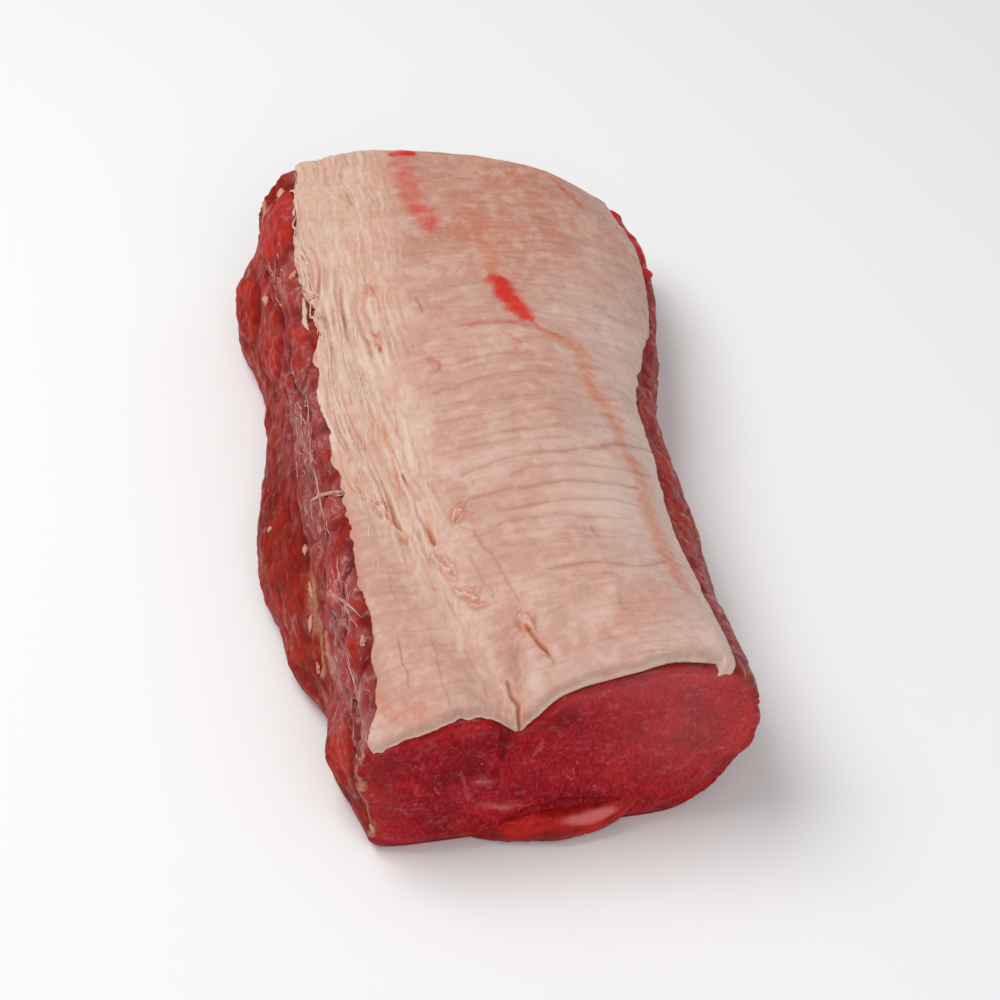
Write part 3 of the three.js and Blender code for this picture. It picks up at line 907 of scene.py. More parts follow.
def stack_masks(zones: tuple, tints: tuple, marks: tuple) -> dict[Masks, Field]:
    """Stacks nine masks into the three attributes."""
    given = {Masks.ZONES: zones, Masks.TINTS: tints, Masks.MARKS: marks}
    shape = max((np.shape(mask) for three in given.values() for mask in three), key=len)
    return {
        name: np.clip(np.stack([np.broadcast_to(mask, shape) for mask in three], -1), 0, 1)
        for name, three in given.items()
    }


# The cap of back fat


@dataclass
class FatSurface:
    """What the fat's surface shows, point by point."""

    x: Field
    y: Field
    u: Field
    v: Field
    brow: Field
    thin: Field
    slit: Field
    rise: Field
    crack: Field
    flake: Field
    fibre: Field
    strip: Field
    height: Field


@dataclass
class FatCap:
    """The cap of back fat: a fine upper skin, rounded edges, and a plain underside."""

    form: LoinForm
    grain: Grain = field(default_factory=lambda: Grain(11))
    nose: int = 3
    left_columns: int = 140
    right_columns: int = 71
    left_part: float = 0.47
    lip_rows: int = 12
    body_rows: int = 345
    far_rows: int = 6
    coarse: int = 4
    cream_right: Line = (
        (-197, -22), (-154, -31), (-107, -35), (-43, -33), (15, -33), (75, -29), (159, -22), (210, -18)
    )
    cream_left: Line = ((-197, -28), (-165, -36), (-140, -43), (-100, -52), (-60, -64), (-40, -90), (210, -100))
    wrinkles: tuple[Stroke, ...] = strokes(
        (1.6, 0.32, (2, 44), (17, 44), (30, 39)), (1.5, 0.3, (-19, 34), (6, 38), (23, 27)),
        (1.6, 0.62, (-22, 0), (-12, 2), (10, 6), (38, 5), (52, 2)),
        (1.6, 0.55, (-25, -13), (-21, -10), (16, -14), (49, -11), (64, -8)),
        (1.6, 1.0, (-20, -60), (-15, -58), (4, -55), (31, -55), (55, -45), (73, -36)),
        (1.5, 0.9, (-18, -77), (4, -76), (36, -77), (60, -72)), (1.2, 0.7, (-7, -89), (20, -89), (57, -87)),
        (1.2, 0.6, (-13, -98), (10, -97), (36, -100), (52, -97)), (1.0, 0.4, (-11, -110), (11, -114), (30, -113)),
        (1.3, 0.9, (8, -131), (25, -131), (46, -134), (60, -126)),
        (1.4, 0.4, (-4, -30), (5, -28), (30, -24), (66, -22)), (1.4, 0.35, (-14, 18), (0, 20), (24, 21), (50, 18)),
        (1.3, 0.4, (-6, -41), (0, -38), (28, -36), (68, -31)), (1.1, 0.6, (0, -68), (8, -66), (36, -66), (68, -58)),
        (1.1, 0.3, (10, 54), (30, 55), (60, 50)),
    )
    slits: tuple[Stroke, ...] = strokes(
        (1.5, 0.55, (-44, -48), (-42, -62), (-41, -80), (-38, -97)),
        (0.9, 0.62, (-20, -179), (-19, -186), (-18, -194), (-17, -204)),
        (0.75, 0.45, (-9, -150), (-8, -158), (-5, -168), (-2, -177)), (0.7, 0.2, (-2, -177), (0, -183)),
    )
    cracks: tuple[Stroke, ...] = strokes(
        (0.6, 0.5, (-26, -92), (-19, -100), (-13, -124), (-8, -146)),
        (0.45, 0.45, (-38, -119), (-36, -133), (-33, -148)), (0.42, 0.7, (-62, -149), (-61, -161), (-61, -176)),
        (0.42, 0.5, (-47, -154), (-47, -175), (-46, -194)), (0.7, 0.6, (-42, 171), (-39, 156)),
        (0.7, 0.8, (-19, 73), (-18, 62)), (0.6, 0.4, (32, -152), (33, -166)), (0.5, 0.3, (-60, -108), (-59, -128)),
        (0.6, 0.4, (-24, -110), (-20, -128), (-17, -142)),
        (0.5, 0.6, (-10, -146), (-8, -158), (-5, -168), (-2, -178), (0, -184)), (1.0, 0.8, (26, 47), (27, 44)),
        (0.7, 0.5, (38, 38), (42, 35), (46, 33)), (0.7, 0.4, (58, -118), (64, -124), (72, -122)),
        (0.6, 0.5, (30, -106), (33, -114)),
    )
    blood: tuple[Stroke, ...] = strokes(
        (7.0, 0.72, (19, 85), (25, 73)), (6.8, 1.0, (23, 82), (25, 62), (28, 50)), (5.5, 1.0, (25, 66), (30, 46)),
        (4.0, 0.7, (30, 50), (33, 45)), (2.2, 0.55, (30, 47), (36, 38), (44, 32)),
        (10.0, 0.45, (-7, 202), (-9, 184), (-8, 168), (-6, 150)), (9.5, 0.52, (-7, 156), (-4, 142), (-3, 130)),
        (4.5, 0.3, (-3, 148), (0, 136)), (3.6, 0.85, (-14, 199), (-6, 201), (0, 200)),
        (2.6, 0.5, (-2, 46), (17, 45), (30, 41)), (1.6, 0.5, (16, 37), (24, 27)), (3.0, 0.45, (68, 182), (80, 160)),
        (1.4, 0.4, (20, 24), (22, 18)),
    )
    orange: tuple[Stroke, ...] = strokes(
        (8.0, 0.42, (18, 140), (22, 125)), (6.5, 0.5, (24, 118), (23, 100), (20, 86)),
        (6.0, 0.38, (33, 132), (44, 124)), (5.0, 0.34, (56, 138), (62, 124)), (5.0, 0.42, (44, 182), (52, 172)),
        (5.0, 0.38, (70, 150), (74, 132)), (5.0, 0.34, (60, 118), (66, 104)),
        (5.5, 0.62, (36, 33), (50, 28), (52, -1), (58, -27), (57, -44)),
        (6.0, 0.72, (57, -44), (62, -60), (62, -85), (62, -114), (63, -130), (66, -152)),
        (6.0, 0.9, (61, -80), (62, -104)), (4.0, 0.5, (48, -46), (54, -52)), (3.6, 0.7, (50, 27), (52, 18)),
        (2.8, 0.9, (-43, -48), (-42, -66), (-40, -82), (-38, -98)), (3.4, 1.0, (-9, -156), (-7, -163)),
        (1.8, 0.8, (-7, -160), (-4, -170), (-1, -180)), (1.6, 0.6, (-46, -60), (-47, -40), (-48, -10)),
        (4.0, 0.75, (-58, -66), (-54, -74)), (2.2, 0.6, (-53, -77), (-48, -90)),
        (9.0, 0.42, (-72, -184), (-56, -190)), (6.0, 0.4, (-74, -170), (-70, -184)),
        (2.4, 0.7, (-11, 62), (-7, 62)), (2.0, 0.55, (-20, 29), (-17, 17)), (2.0, 0.5, (-42, -123)),
        (2.6, 0.75, (-41, 54), (-43, 40)), (3.0, 0.55, (-40, 91), (-40, 82)),
        (1.7, 0.75, (-18, -182), (-17, -190), (-16, -202)), (2.6, 0.5, (8, -62), (12, -62)),
        (2.0, 0.4, (10, -82), (14, -84)), (1.6, 0.5, (28, -140), (33, -141)),
    )

    flakes: tuple[Stroke, ...] = strokes(
        (1.1, 0.9, (-28, -87), (-25, -82), (-22, -83)), (0.9, 0.8, (-26, -90), (-22, -86), (-19, -87)),
        (0.8, 0.7, (-24, -80), (-20, -78)), (1.1, 0.95, (-39, -103), (-37, -109), (-33, -115)),
        (0.8, 0.8, (-36, -104), (-33, -110), (-31, -117)), (0.9, 0.8, (-36, -113), (-33, -119), (-30, -122)),
        (1.1, 0.95, (-33, -125), (-29, -131), (-24, -135)), (0.8, 0.8, (-30, -125), (-26, -129), (-22, -131)),
        (0.9, 0.8, (-29, -134), (-25, -138), (-21, -140)), (1.0, 0.9, (-61, -63), (-58, -70), (-56, -75)),
        (0.9, 0.8, (-58, -63), (-55, -69), (-53, -77)), (1.0, 0.8, (-55, -78), (-51, -84), (-49, -91)),
        (1.0, 0.9, (-44, 54), (-42, 47), (-43, 40)), (0.8, 0.7, (-41, 50), (-40, 44)),
        (1.0, 0.6, (-41, 90), (-39, 82)), (0.9, 0.7, (-21, 27), (-18, 21), (-17, 15)),
        (1.6, 1.0, (-10, -152), (-8, -158), (-5, -163)), (1.0, 0.8, (-7, -154), (-5, -159)),
        (0.9, 0.4, (9, -62), (13, -61)), (0.8, 0.4, (16, -136), (21, -137)),
    )

    def flow(self, y: Field) -> Field:
        """Finds where the middle of the cream strip runs, which its fibres follow."""
        return np.interp(y, (-197, -150, -100, 0, 60, 200), (-25, -32, -42, -52, -54, -46))

    def read(self, x: Field, y: Field) -> FatSurface:
        """Works out what the surface shows at points of it."""
        grain = self.grain
        u = x + 0.9 * grain.at(x / 6, y / 6)
        v = y + 1.1 * grain.at(x / 9 + 40, y / 9)
        right = np.interp(y, *np.array(self.cream_right, float).T)
        left = np.interp(y, *np.array(self.cream_left, float).T)
        strip = (1 - smooth(x, right - 10, right + 14)) * smooth(x, left - 8, left + 6)
        crease, brow = trace(u, v, self.wrinkles, 1.9)
        thin, _ = trace(u, v, self.wrinkles, 0.62)
        slit, rise = trace(u, v, self.slits)
        crack, _ = trace(u, v, self.cracks)
        flake, hollow = trace(x + 0.9 * grain.at(x / 1.9, y / 1.9), y + 0.9 * grain.at(x / 2.1, y / 2.1), self.flakes)
        across = x - self.flow(y) + 2.2 * grain.at(x / 16, y / 38) + 0.7 * grain.at(x / 4, y / 13)
        zone = strip * smooth(y, -150, -60) * (0.35 + 0.65 * smooth(grain.at(x / 18 + 3, y / 45), -0.5, 0.3))
        zone = zone * (0.55 + 0.45 * patch(x, y, (-50, -20), (60, 110)))
        zone = zone * (1 - 0.75 * patch(x, y, (-36, 150), (22, 50))) * (1 - 0.8 * patch(x, y, (-55, 44), (6, 16)))
        strands = 1 - 2 * np.abs(grain.at(across / 2.4 + 30, y / 58 + 4))
        fibre = zone * (0.55 * grain.at(across / 1.3, y / 24) + 0.95 * strands + 0.6 * grain.at(across / 5, y / 60 + 9))
        folded = 0.25 + 0.75 * patch(x, y, (32, -36), (40, 80))
        ripple = grain.at((v + 0.0022 * (x - 30) ** 2) / 2.1 + 0.9 * grain.at(x / 24, y / 20), x / 40)
        ripple = ripple + 0.6 * grain.at((v + 0.003 * (x - 24) ** 2) / 1.25, x / 24 + 7)
        bare = smooth(x, right - 4, right + 22) * smooth(y, -150, -120)
        fold = patch(x - 0.16 * (y + 175), y, (-10, -182), (4.4, 26))
        height = (
            0.8 * grain.rough(x / 34, y / 42)
            + 0.12 * grain.rough(x / 4.5, y / 5)
            + fibre
            + 0.15 * bare * folded * ripple
            - 0.36 * crease
            + 0.14 * brow
            - 0.16 * thin
            - 1.7 * slit
            + 0.5 * rise
            - 0.22 * crack
            + 1.1 * flake
            - 0.5 * hollow * (1 - flake)
            + 2.4 * fold
        )
        return FatSurface(x, y, u, v, brow, thin, slit, rise, crack, flake, fibre, strip, height)

    def masks(self, seen: FatSurface) -> dict[Masks, Field]:
        """Finds the masks of the fat's colours."""
        grain, x, y = self.grain, seen.x, seen.y
        drift = 0.3 * grain.rough(x / 18, y / 26)
        cream = np.clip(seen.strip * (1 + drift) * (0.3 + 0.7 * smooth(y, -170, -50)), 0, 1)
        tan = patch(x, y, (18, 140), (50, 62)) + 0.5 * patch(x, y, (60, 165), (30, 40))
        tan = np.clip(tan * (0.85 + drift), 0, 1)
        flank = smooth(x, 26, 74) * (1 - smooth(y, 50, 120)) * (0.9 + drift) + 0.3 * patch(x, y, (40, -188), (60, 9))
        flank = flank + 0.45 * patch(x, y, (46, -88), (24, 34))
        blood, _ = trace(seen.u, seen.v, self.blood)
        orange, _ = trace(seen.u, seen.v, self.orange)
        pink = (
            0.7 * patch(x, y, (48, -160), (14, 11))
            + 0.9 * patch(x, y, (-75, -90), (6, 60))
            + 0.5 * patch(x, y, (0, -84), (22, 12))
            + 0.3 * patch(x, y, (-52, -165), (20, 22))
            + 0.4 * patch(x, y, (-12, 20), (9, 34))
            + 0.35 * patch(x, y, (-5, 165), (24, 40))
            + 0.4 * patch(x, y, (-14, -150), (8, 18))
        )
        low = sunken(seen.height, 4, 0.8)
        orange = np.maximum(orange, 0.9 * np.sqrt(seen.flake))
        orange = np.maximum(orange, 0.62 * seen.strip * smooth(-seen.fibre, 0.25, 0.9) * smooth(y, -120, -90))
        # Painted shade: darker along the wrinkle troughs, in cracks and slits, and in the relief's hollows (low)
        dark = 0.14 * seen.thin + 0.6 * seen.crack + 0.6 * smooth(seen.slit, 0.35, 0.75) + 0.5 * low
        # Painted highlight on flake tops, wrinkle lips and slit lips; the fibre streaks and patches below are the fat's
        # own pale colour
        pale = 0.6 * smooth(seen.flake, 0.55, 0.85) + 0.15 * seen.brow + 0.5 * seen.rise
        pale = pale + 0.8 * smooth(seen.fibre, 0.2, 0.9)
        pale = pale + 0.5 * patch(x, y, (46, -86), (22, 32))
        pale = pale + 0.5 * smooth(x, 60, 76) * (1 - smooth(y, -30, 60))
        pale = pale + 0.5 * patch(x, y, (-55, 44), (6, 14)) + 0.3 * patch(x, y, (-34, -120), (7, 30))
        return stack_masks((cream, tan, flank), (blood, orange, pink), (dark, np.clip(pale, 0, 0.75), seen.strip))

    def edges(self, t: Field) -> tuple[Field, Field]:
        """Finds the fat's two long edges with their fine raggedness."""
        left, right = self.form.fat_edges(t)
        row = t * self.form.length
        rag = 1.3 * self.grain.rough(row / 5.5, row * 0 + 3) + 1.5 * self.grain.at(row / 17, row * 0 + 90)
        rag = rag + 5.0 * hump(row, 276, 11) - 2.0 * hump(row, 318, 16)
        rag = rag + 2.5 * hump(row, 152, 9) + 1.5 * hump(row, 34, 8)
        plain = 0.8 * self.grain.rough(row / 7, row * 0 + 60)
        return left + (rag + 0.3) / RAIL_SPACING, right + plain / RAIL_SPACING

    def lip(self, across: Field) -> Field:
        """Finds how far the fat hangs over the near edge, with its tip, notches and fine raggedness."""
        trimmed = smooth(across, 0.425, 0.485) * 0.72 + smooth(across, 0.6, 0.618) * 0.28
        rag = self.grain.rough(across * 30, across * 0 + 21) + 0.4 * self.grain.at(across * 110, across * 0 + 77)
        return (
            self.form.lip_reach
            + 4.5 * hump(across, 0.393, 0.014)
            - 2.5 * hump(across, 0.33, 0.04)
            + 5.0 * hump(across, 0.955, 0.026)
            - 4.2 * hump(across, 0.242, 0.014)
            - 6.0 * trimmed * (1 - smooth(across, 0.905, 0.93))
            + rag
        )

    def grid(self) -> tuple[Field, Field, Field, Field]:
        """Lays out the upper skin.

        Returns:
            The place, the distance along, the depth before relief, and the share of it that each point takes.
        """
        form, nose = self.form, self.nose
        angle = np.linspace(0, 0.86 * math.pi, nose + 1)[1:]
        out, down = 0.75 * np.sin(angle), 0.5 * (1 - np.cos(angle))
        left = np.linspace(0, self.left_part, self.left_columns, endpoint=False)
        inner = np.concatenate([left, np.linspace(self.left_part, 1, self.right_columns)])
        across = np.concatenate([np.zeros(nose), inner, np.ones(nose)])
        flat = np.zeros(len(inner))
        side_out = np.concatenate([-out[::-1], flat, out])
        side_down = np.concatenate([down[::-1], flat, down])
        lip = self.lip(across)
        share = np.linspace(0, 1, self.body_rows)
        stations = form.body_length * (0.64 * share + 0.36 * share**2)
        lips = np.arange(self.lip_rows, 0, -1) / self.lip_rows
        fars = np.arange(1, self.far_rows + 1) / self.far_rows
        none = np.zeros(self.body_rows)
        taper = np.concatenate([np.ones(nose), lips, none, fars, np.ones(nose)])[:, None]
        end_down = np.concatenate([down[::-1], 0 * lips, none, 0 * fars, down])[:, None]
        near = -lip * np.concatenate([np.ones(nose), lips])[:, None] - np.concatenate([out[::-1], 0 * lips])[:, None]
        middle = np.broadcast_to(stations[:, None], (self.body_rows, len(across)))
        past = np.concatenate([fars, np.ones(nose)])
        far = form.body_length + form.far_reach * past + np.concatenate([0 * fars, out])
        along = np.vstack([near, middle, np.broadcast_to(far[:, None], (len(far), len(across)))])
        t = form.share_at(along)
        left_edge, right_edge = self.edges(t)
        place = left_edge + (right_edge - left_edge) * across + side_out * 1.7 / RAIL_SPACING
        thickness = form.fat_thickness(np.clip(place, *form.fat_edges(t)), t)
        upper = (thickness - np.minimum(form.fat_lip, thickness)) * taper**2
        lower = thickness - form.lip_lift * taper
        fall = np.maximum(end_down, side_down)
        return place, along, upper + (lower - upper) * fall, 1 - fall

    def shell(self) -> Shell:
        """Builds the whole surface."""
        form, step = self.form, self.coarse
        place, along, depth, free = self.grid()
        plain = form.skin(place, along, depth)
        seen = self.read(plain[..., 0], plain[..., 1])
        points = form.skin(place, along, depth - seen.height * free)
        masks = self.masks(seen)
        # Painted light: paler along the near lip where it rolls over the cut face, against the shade that its
        # front-facing roll takes
        hang = np.clip(-along / np.maximum(-along[self.nose][None, :], 1), 0, 1)
        pale = masks[Masks.MARKS][..., 1]
        masks[Masks.MARKS][..., 1] = np.maximum(pale, 0.6 * smooth(hang, 0.78, 0.98))
        shell = Shell()
        top = shell.add_points(points, masks)
        u, v = spread(np.arange(place.shape[1])), spread(along[:, place.shape[1] // 2])
        shell.add_grid(top, 0.01 + 0.8 * u, 0.01 + 0.98 * v)
        t = form.share_at(along)
        under_place, under_along = place[::step, ::step], along[::step, ::step]
        thickness = form.fat_thickness(np.clip(place, *form.fat_edges(t)), t)[::step, ::step]
        past = np.clip(np.maximum(-under_along, under_along - form.body_length) / form.lip_reach, 0, 1)
        under = form.skin(under_place, under_along, thickness - form.lip_lift * past)
        low = shell.add_points(under, {mask: values[::step, ::step] for mask, values in masks.items()})
        shell.add_grid(low, 0.84 + 0.15 * u[::step], 0.01 + 0.5 * v[::step], flip=True)
        self.close(shell, top, low)
        return shell

    def close(self, shell: Shell, top: Field, low: Field) -> None:
        """Joins the fine upper skin to the coarser underside, all round their edges."""

        def rim(numbers: Field) -> Field:
            """Lists the points round the edge of a grid."""
            return np.concatenate([numbers[0, :-1], numbers[:-1, -1], numbers[-1, :0:-1], numbers[:0:-1, 0]])

        fine, rough, step = rim(top), rim(low), self.coarse
        triangles = []
        for k in range(len(rough)):
            here, there = rough[k], rough[(k + 1) % len(rough)]
            for j in range(step):
                a, b = fine[k * step + j], fine[(k * step + j + 1) % len(fine)]
                triangles.append((here if j < step // 2 else there, b, a))
            triangles.append((here, there, fine[k * step + step // 2]))
        count = len(triangles)
        ramp = 0.85 + 0.14 * np.arange(count) / count
        places = np.stack([np.stack([ramp, np.full(count, level)], -1) for level in (0.6, 0.6, 0.64)], 1)
        shell.add_triangles(np.array(triangles), places)


# The lean


@dataclass(frozen=True)
class Knot:
    """A rounded end of muscle that swells out of the chine side: its place along and up, and its reach."""

    along: float
    high: float
    reach_along: float
    reach_high: float
    rise: float
    tilt: float = 0.0

    def inside(self, y: Field, z: Field) -> Field:
        """Finds how far out points lie, where 1 is the knot's edge."""
        turn = math.radians(self.tilt)
        a, b = y - self.along, z - self.high
        return np.hypot(
            (a * math.cos(turn) + b * math.sin(turn)) / self.reach_along,
            (b * math.cos(turn) - a * math.sin(turn)) / self.reach_high,
        )


@dataclass
class SideSurface:
    """What the long sides show, point by point."""

    y: Field
    z: Field
    left: Field
    right: Field
    groove: Field
    dome: Field
    ring: Field
    height: Field


@dataclass
class Lean:
    """The red muscle: its four long sides and its two cut faces."""

    form: LoinForm
    grain: Grain = field(default_factory=lambda: Grain(23))
    left_columns: int = 104
    under_columns: int = 66
    right_columns: int = 72
    base_columns: int = 22
    body_rows: int = 262
    roll_rows: int = 5
    near_spacing: float = 1.1
    far_spacing: float = 2.2
    knots: tuple[Knot, ...] = (
        Knot(-65, 73, 17, 6.5, 1.8, -8),
        Knot(-91, 65, 24, 9, 2.4, 10),
        Knot(-138, 67, 15, 7, 2.2, 20),
        Knot(-120, 62, 9, 6, 1.4, 30),
        Knot(62, 70, 24, 8, 1.8, 4),
        Knot(110, 45, 34, 14, 1.6, 6),
        Knot(168, 66, 26, 14, 1.6, 0),
        Knot(30, 62, 16, 6, 1.0, 12),
        Knot(-20, 66, 18, 5, 1.0, -10),
        Knot(-167, 33, 22, 17, 2.2, 25),
        Knot(-40, 22, 60, 17, 1.0, 0),
        Knot(150, 28, 26, 12, 1.8, 0),
    )
    seam: tuple[Stroke, ...] = strokes(
        (2.2, 1.0, (54, 54), (30, 51), (2, 50), (-26, 45), (-46, 43), (-63, 44), (-84, 41), (-104, 36), (-116, 28)),
        (1.6, 0.8, (-128, 44), (-150, 52), (-160, 57), (-172, 60)),
        (2.5, 1.7, (-158, 58), (-174, 58), (-184, 51), (-189, 36), (-191, 17), (-192, 6)),
        (1.2, 0.5, (-46, 44), (-58, 56), (-60, 66)), (1.8, 0.7, (150, 52), (128, 54), (100, 58), (84, 62)),
        (1.4, 0.6, (84, 62), (62, 60), (40, 64), (10, 70)),
    )
    side_fat: tuple[Stroke, ...] = strokes(
        (1.6, 0.6, (6, 51), (-26, 47), (-46, 44)), (3.6, 0.62, (-56, 45), (-84, 43), (-104, 38), (-118, 31)),
        (4.6, 0.62, (-74, 44), (-106, 38)), (3.0, 0.5, (-104, 44), (-130, 38)),
        (1.5, 0.6, (-176, 62), (-186, 54), (-192, 38), (-195, 16)), (3.6, 0.7, (201, 60), (192, 57), (182, 58)),
        (3.6, 0.5, (130, 50), (127, 50)), (2.0, 0.5, (177, 36), (172, 33)), (2.2, 0.8, (118, 74), (114, 73)),
        (1.3, 0.55, (-193, 56), (-194, 42), (-196, 24), (-195, 8)),
    )
    pale_bands: tuple[Stroke, ...] = strokes(
        (2.4, 0.5, (-112, 40), (-126, 42), (-146, 48), (-162, 56)),
        (2.6, 0.42, (-150, 62), (-168, 62), (-186, 60), (-196, 52)), (1.6, 0.4, (50, 50), (20, 58), (-10, 66)),
        (1.6, 0.4, (40, 56), (16, 52), (-10, 50), (-30, 50)), (1.3, 0.6, (-98, 58), (-110, 66), (-124, 72)),
        (1.1, 0.5, (-108, 56), (-120, 64), (-132, 70)), (1.4, 0.4, (150, 58), (128, 50)),
        (1.4, 0.4, (128, 64), (102, 69)),
    )
    face_flecks_and_glints: tuple[Stroke, ...] = strokes(
        (0.9, 0.5, (-43, 44), (-41, 34), (-39, 26)), (1.1, 0.42, (-39, 26), (-30, 22), (-12, 20)),
        (0.8, 0.75, (-8, 55), (-11, 49)), (0.8, 0.5, (-61, 42), (-63, 36)), (0.7, 0.6, (-54, 38), (-51, 33)),
        (0.8, 0.5, (-70, 28), (-66, 24)), (0.7, 0.5, (34, 48), (36, 44), (41, 44), (44, 40)),
        (0.8, 0.5, (49, 31), (55, 34), (58, 40), (64, 46)), (0.7, 0.5, (56, 47), (61, 52), (68, 54)),
        (0.9, 0.5, (66, 64), (70, 68)), (0.6, 0.4, (12, 82), (22, 84), (30, 84)),
        # Painted highlights: four short pale-pink glints on the wet face
        (0.9, 0.8, (-36, 38), (-33, 37), (-31, 38)), (0.6, 0.6, (-34, 35), (-31, 34)),
        (1.0, 0.75, (-29, 21), (-24, 20), (-20, 21)), (0.6, 0.6, (-22, 24), (-19, 25)),
        (0.8, 0.4, (-56, 66), (-54, 62)),
    )
    # The creases are carved into the near face and darkened as painted shade; the last one runs just above the flap as
    # a painted shadow line
    face_creases: tuple[Stroke, ...] = strokes(
        (1.9, 1.0, (-22, 76), (-23, 62), (-25, 48)), (1.3, 0.45, (-46, 78), (-47, 68), (-45, 60)),
        (1.6, 0.4, (-26, 46), (-34, 34), (-38, 24)), (1.2, 0.5, (-26, 11), (-12, 17), (4, 19), (20, 18), (32, 15)),
    )

    def places(self, t: Field) -> Field:
        """Finds the places of the lengthwise lines for each row.

        Args:
            t: Share of the length, one value for each row.

        Returns:
            The places between the rails, by row and column.
        """
        left, right = (edge[:, None] for edge in self.form.fat_edges(t))

        def part(start: Field, end: Field, count: int) -> Field:
            """Spreads places evenly from start, short of end."""
            return start + (end - start) * np.arange(count)[None, :] / count

        base, whole = np.full_like(left, BASE_START), np.full_like(left, RAILS)
        return np.hstack(
            [
                part(0 * left, left, self.left_columns),
                part(left, right, self.under_columns),
                part(right, base, self.right_columns),
                part(base, whole, self.base_columns),
            ]
        )

    def read(self, points: Field, place: Field) -> SideSurface:
        """Works out what the sides show.

        Args:
            points: The smooth points.
            place: Their places between the rails.

        Returns:
            The sides' marks and relief.
        """
        x, y, z = (points[..., axis] for axis in range(3))
        grain = self.grain
        left = ((x < 0) & (place < 4.6)).astype(float)
        right = ((x > 0) & (place < 12)).astype(float)
        u, v = y + 2.0 * grain.rough(y / 9, z / 7), z + 1.6 * grain.rough(y / 10 + 30, z / 8)
        groove, brow = trace(u, v, self.seam)
        dome, ring = np.zeros(x.shape), np.zeros(x.shape)
        for knot in self.knots:
            away = knot.inside(u, v)
            dome = np.maximum(dome, knot.rise * np.sqrt(np.clip(1 - away**2, 0, 1)))
            ring = np.maximum(ring, hump(away, 1.08, 0.16) * min(knot.rise / 2, 1))
        bundle = grain.at((z + 0.25 * y) / 2.6, (y - 0.5 * z) / 14)
        fibre = 0.25 * grain.at(z / 1.7, y / 20) + 0.15 * grain.at(z / 1.0 + 50, y / 11)
        gap = np.exp(-((grain.at((v + 0.3 * y) / 9, u / 24 + 5) / 0.1) ** 2))
        gap = np.maximum(gap, 0.7 * np.exp(-((grain.at((v - 0.2 * y) / 5 + 60, u / 15) / 0.09) ** 2)))
        fresh = 0.9 * grain.rough(y / 17, z / 12) + fibre - 0.75 * gap
        inner = smooth(z, 40, 50)
        chine = dome - 1.9 * groove + 0.5 * brow - 0.8 * ring + inner * 0.45 * bundle - 0.7
        corner = -4.5 * patch(y, z, (192, 42), (8, 13)) + 2.0 * patch(y, z, (174, 32), (10, 12))
        near_corner = 1.5 * patch(y, z, (-190, 44), (7, 9))
        free = np.where(place < 4, 1.0, smooth(np.abs(place - 6.5), 2.25, 2.9))
        height = smooth(z, 1, 9) * (fresh + left * smooth(z, 8, 20) * (chine + corner + near_corner)) * free
        return SideSurface(y, z, left, right, groove, dome, ring, height)

    def side_masks(self, seen: SideSurface, place: Field) -> dict[Masks, Field]:
        """Finds the masks of the sides' colours."""
        grain, y, z, left, right = self.grain, seen.y, seen.z, seen.left, seen.right
        u, v = y + 2.0 * grain.rough(y / 9, z / 7), z + 1.6 * grain.rough(y / 10 + 30, z / 8)
        streaks = 0.5 + 0.6 * grain.rough(y / 18, z / 3.5)
        zones = (
            0.65 * patch(y, z, (128, 66), (30, 9))
            + 1.1 * patch(y, z, (24, 62), (50, 16))
            + 0.8 * patch(y, z, (-40, 58), (30, 14))
            + 1.1 * patch(y, z, (-104, 64), (36, 13))
            + 0.8 * patch(y, z, (-140, 46), (34, 12))
            + 0.8 * patch(y, z, (-176, 60), (26, 8))
        )
        rim = 1.5 * hump(place, 3.85, 0.22) * smooth(grain.rough(y / 12 + 40, z / 20), -0.5, 0.3)
        film = left * (zones * (0.5 + 0.7 * streaks) * (1 - 0.4 * smooth(seen.dome, 0.8, 2.0)) + 0.5 * rim)
        far = 1 - smooth(y, 110, 150)
        film = film + right * smooth(z, 34, 54) * (0.2 + 0.45 * streaks) * far
        bright = left * (0.3 * patch(y, z, (-165, 32), (24, 18)) + 0.6 * patch(y, z, (75, 46), (26, 16)))
        bright = bright + left * (0.5 * patch(y, z, (168, 64), (28, 16)) + 0.3 * smooth(seen.dome, 0.5, 2))
        bright = bright + right * 0.95 * smooth(y, 118, 150) * smooth(z, 20, 40)
        fat, _ = trace(u, v, self.side_fat)
        fat = fat + 0.14 * patch(y, z, (168, 58), (34, 22))
        bands, _ = trace(u, v, self.pale_bands)
        # Painted shade: darker in the relief's hollows; the noise and a broad patch low on the chine side also darken
        # it
        low = sunken(seen.height, 6, 1.6)
        deep = 0.3 * smooth(grain.rough(y / 14 + 7, z / 9), 0.1, 0.8) + 0.75 * low
        deep = deep + left * 0.3 * patch(y, z, (10, 30), (90, 26))
        # Painted shade in the seam's groove and in the trough round each knot
        dark = left * (0.4 * np.clip(seen.groove - fat, 0, 1) + 0.4 * seen.ring)
        wet = 0.02 + 0.5 * smooth(grain.rough(y / 4, z / 3), 0.6, 0.9)
        return stack_masks((0 * y, film, bright), (left * fat, 0 * y, deep), (dark, 0.75 * left * bands, wet))

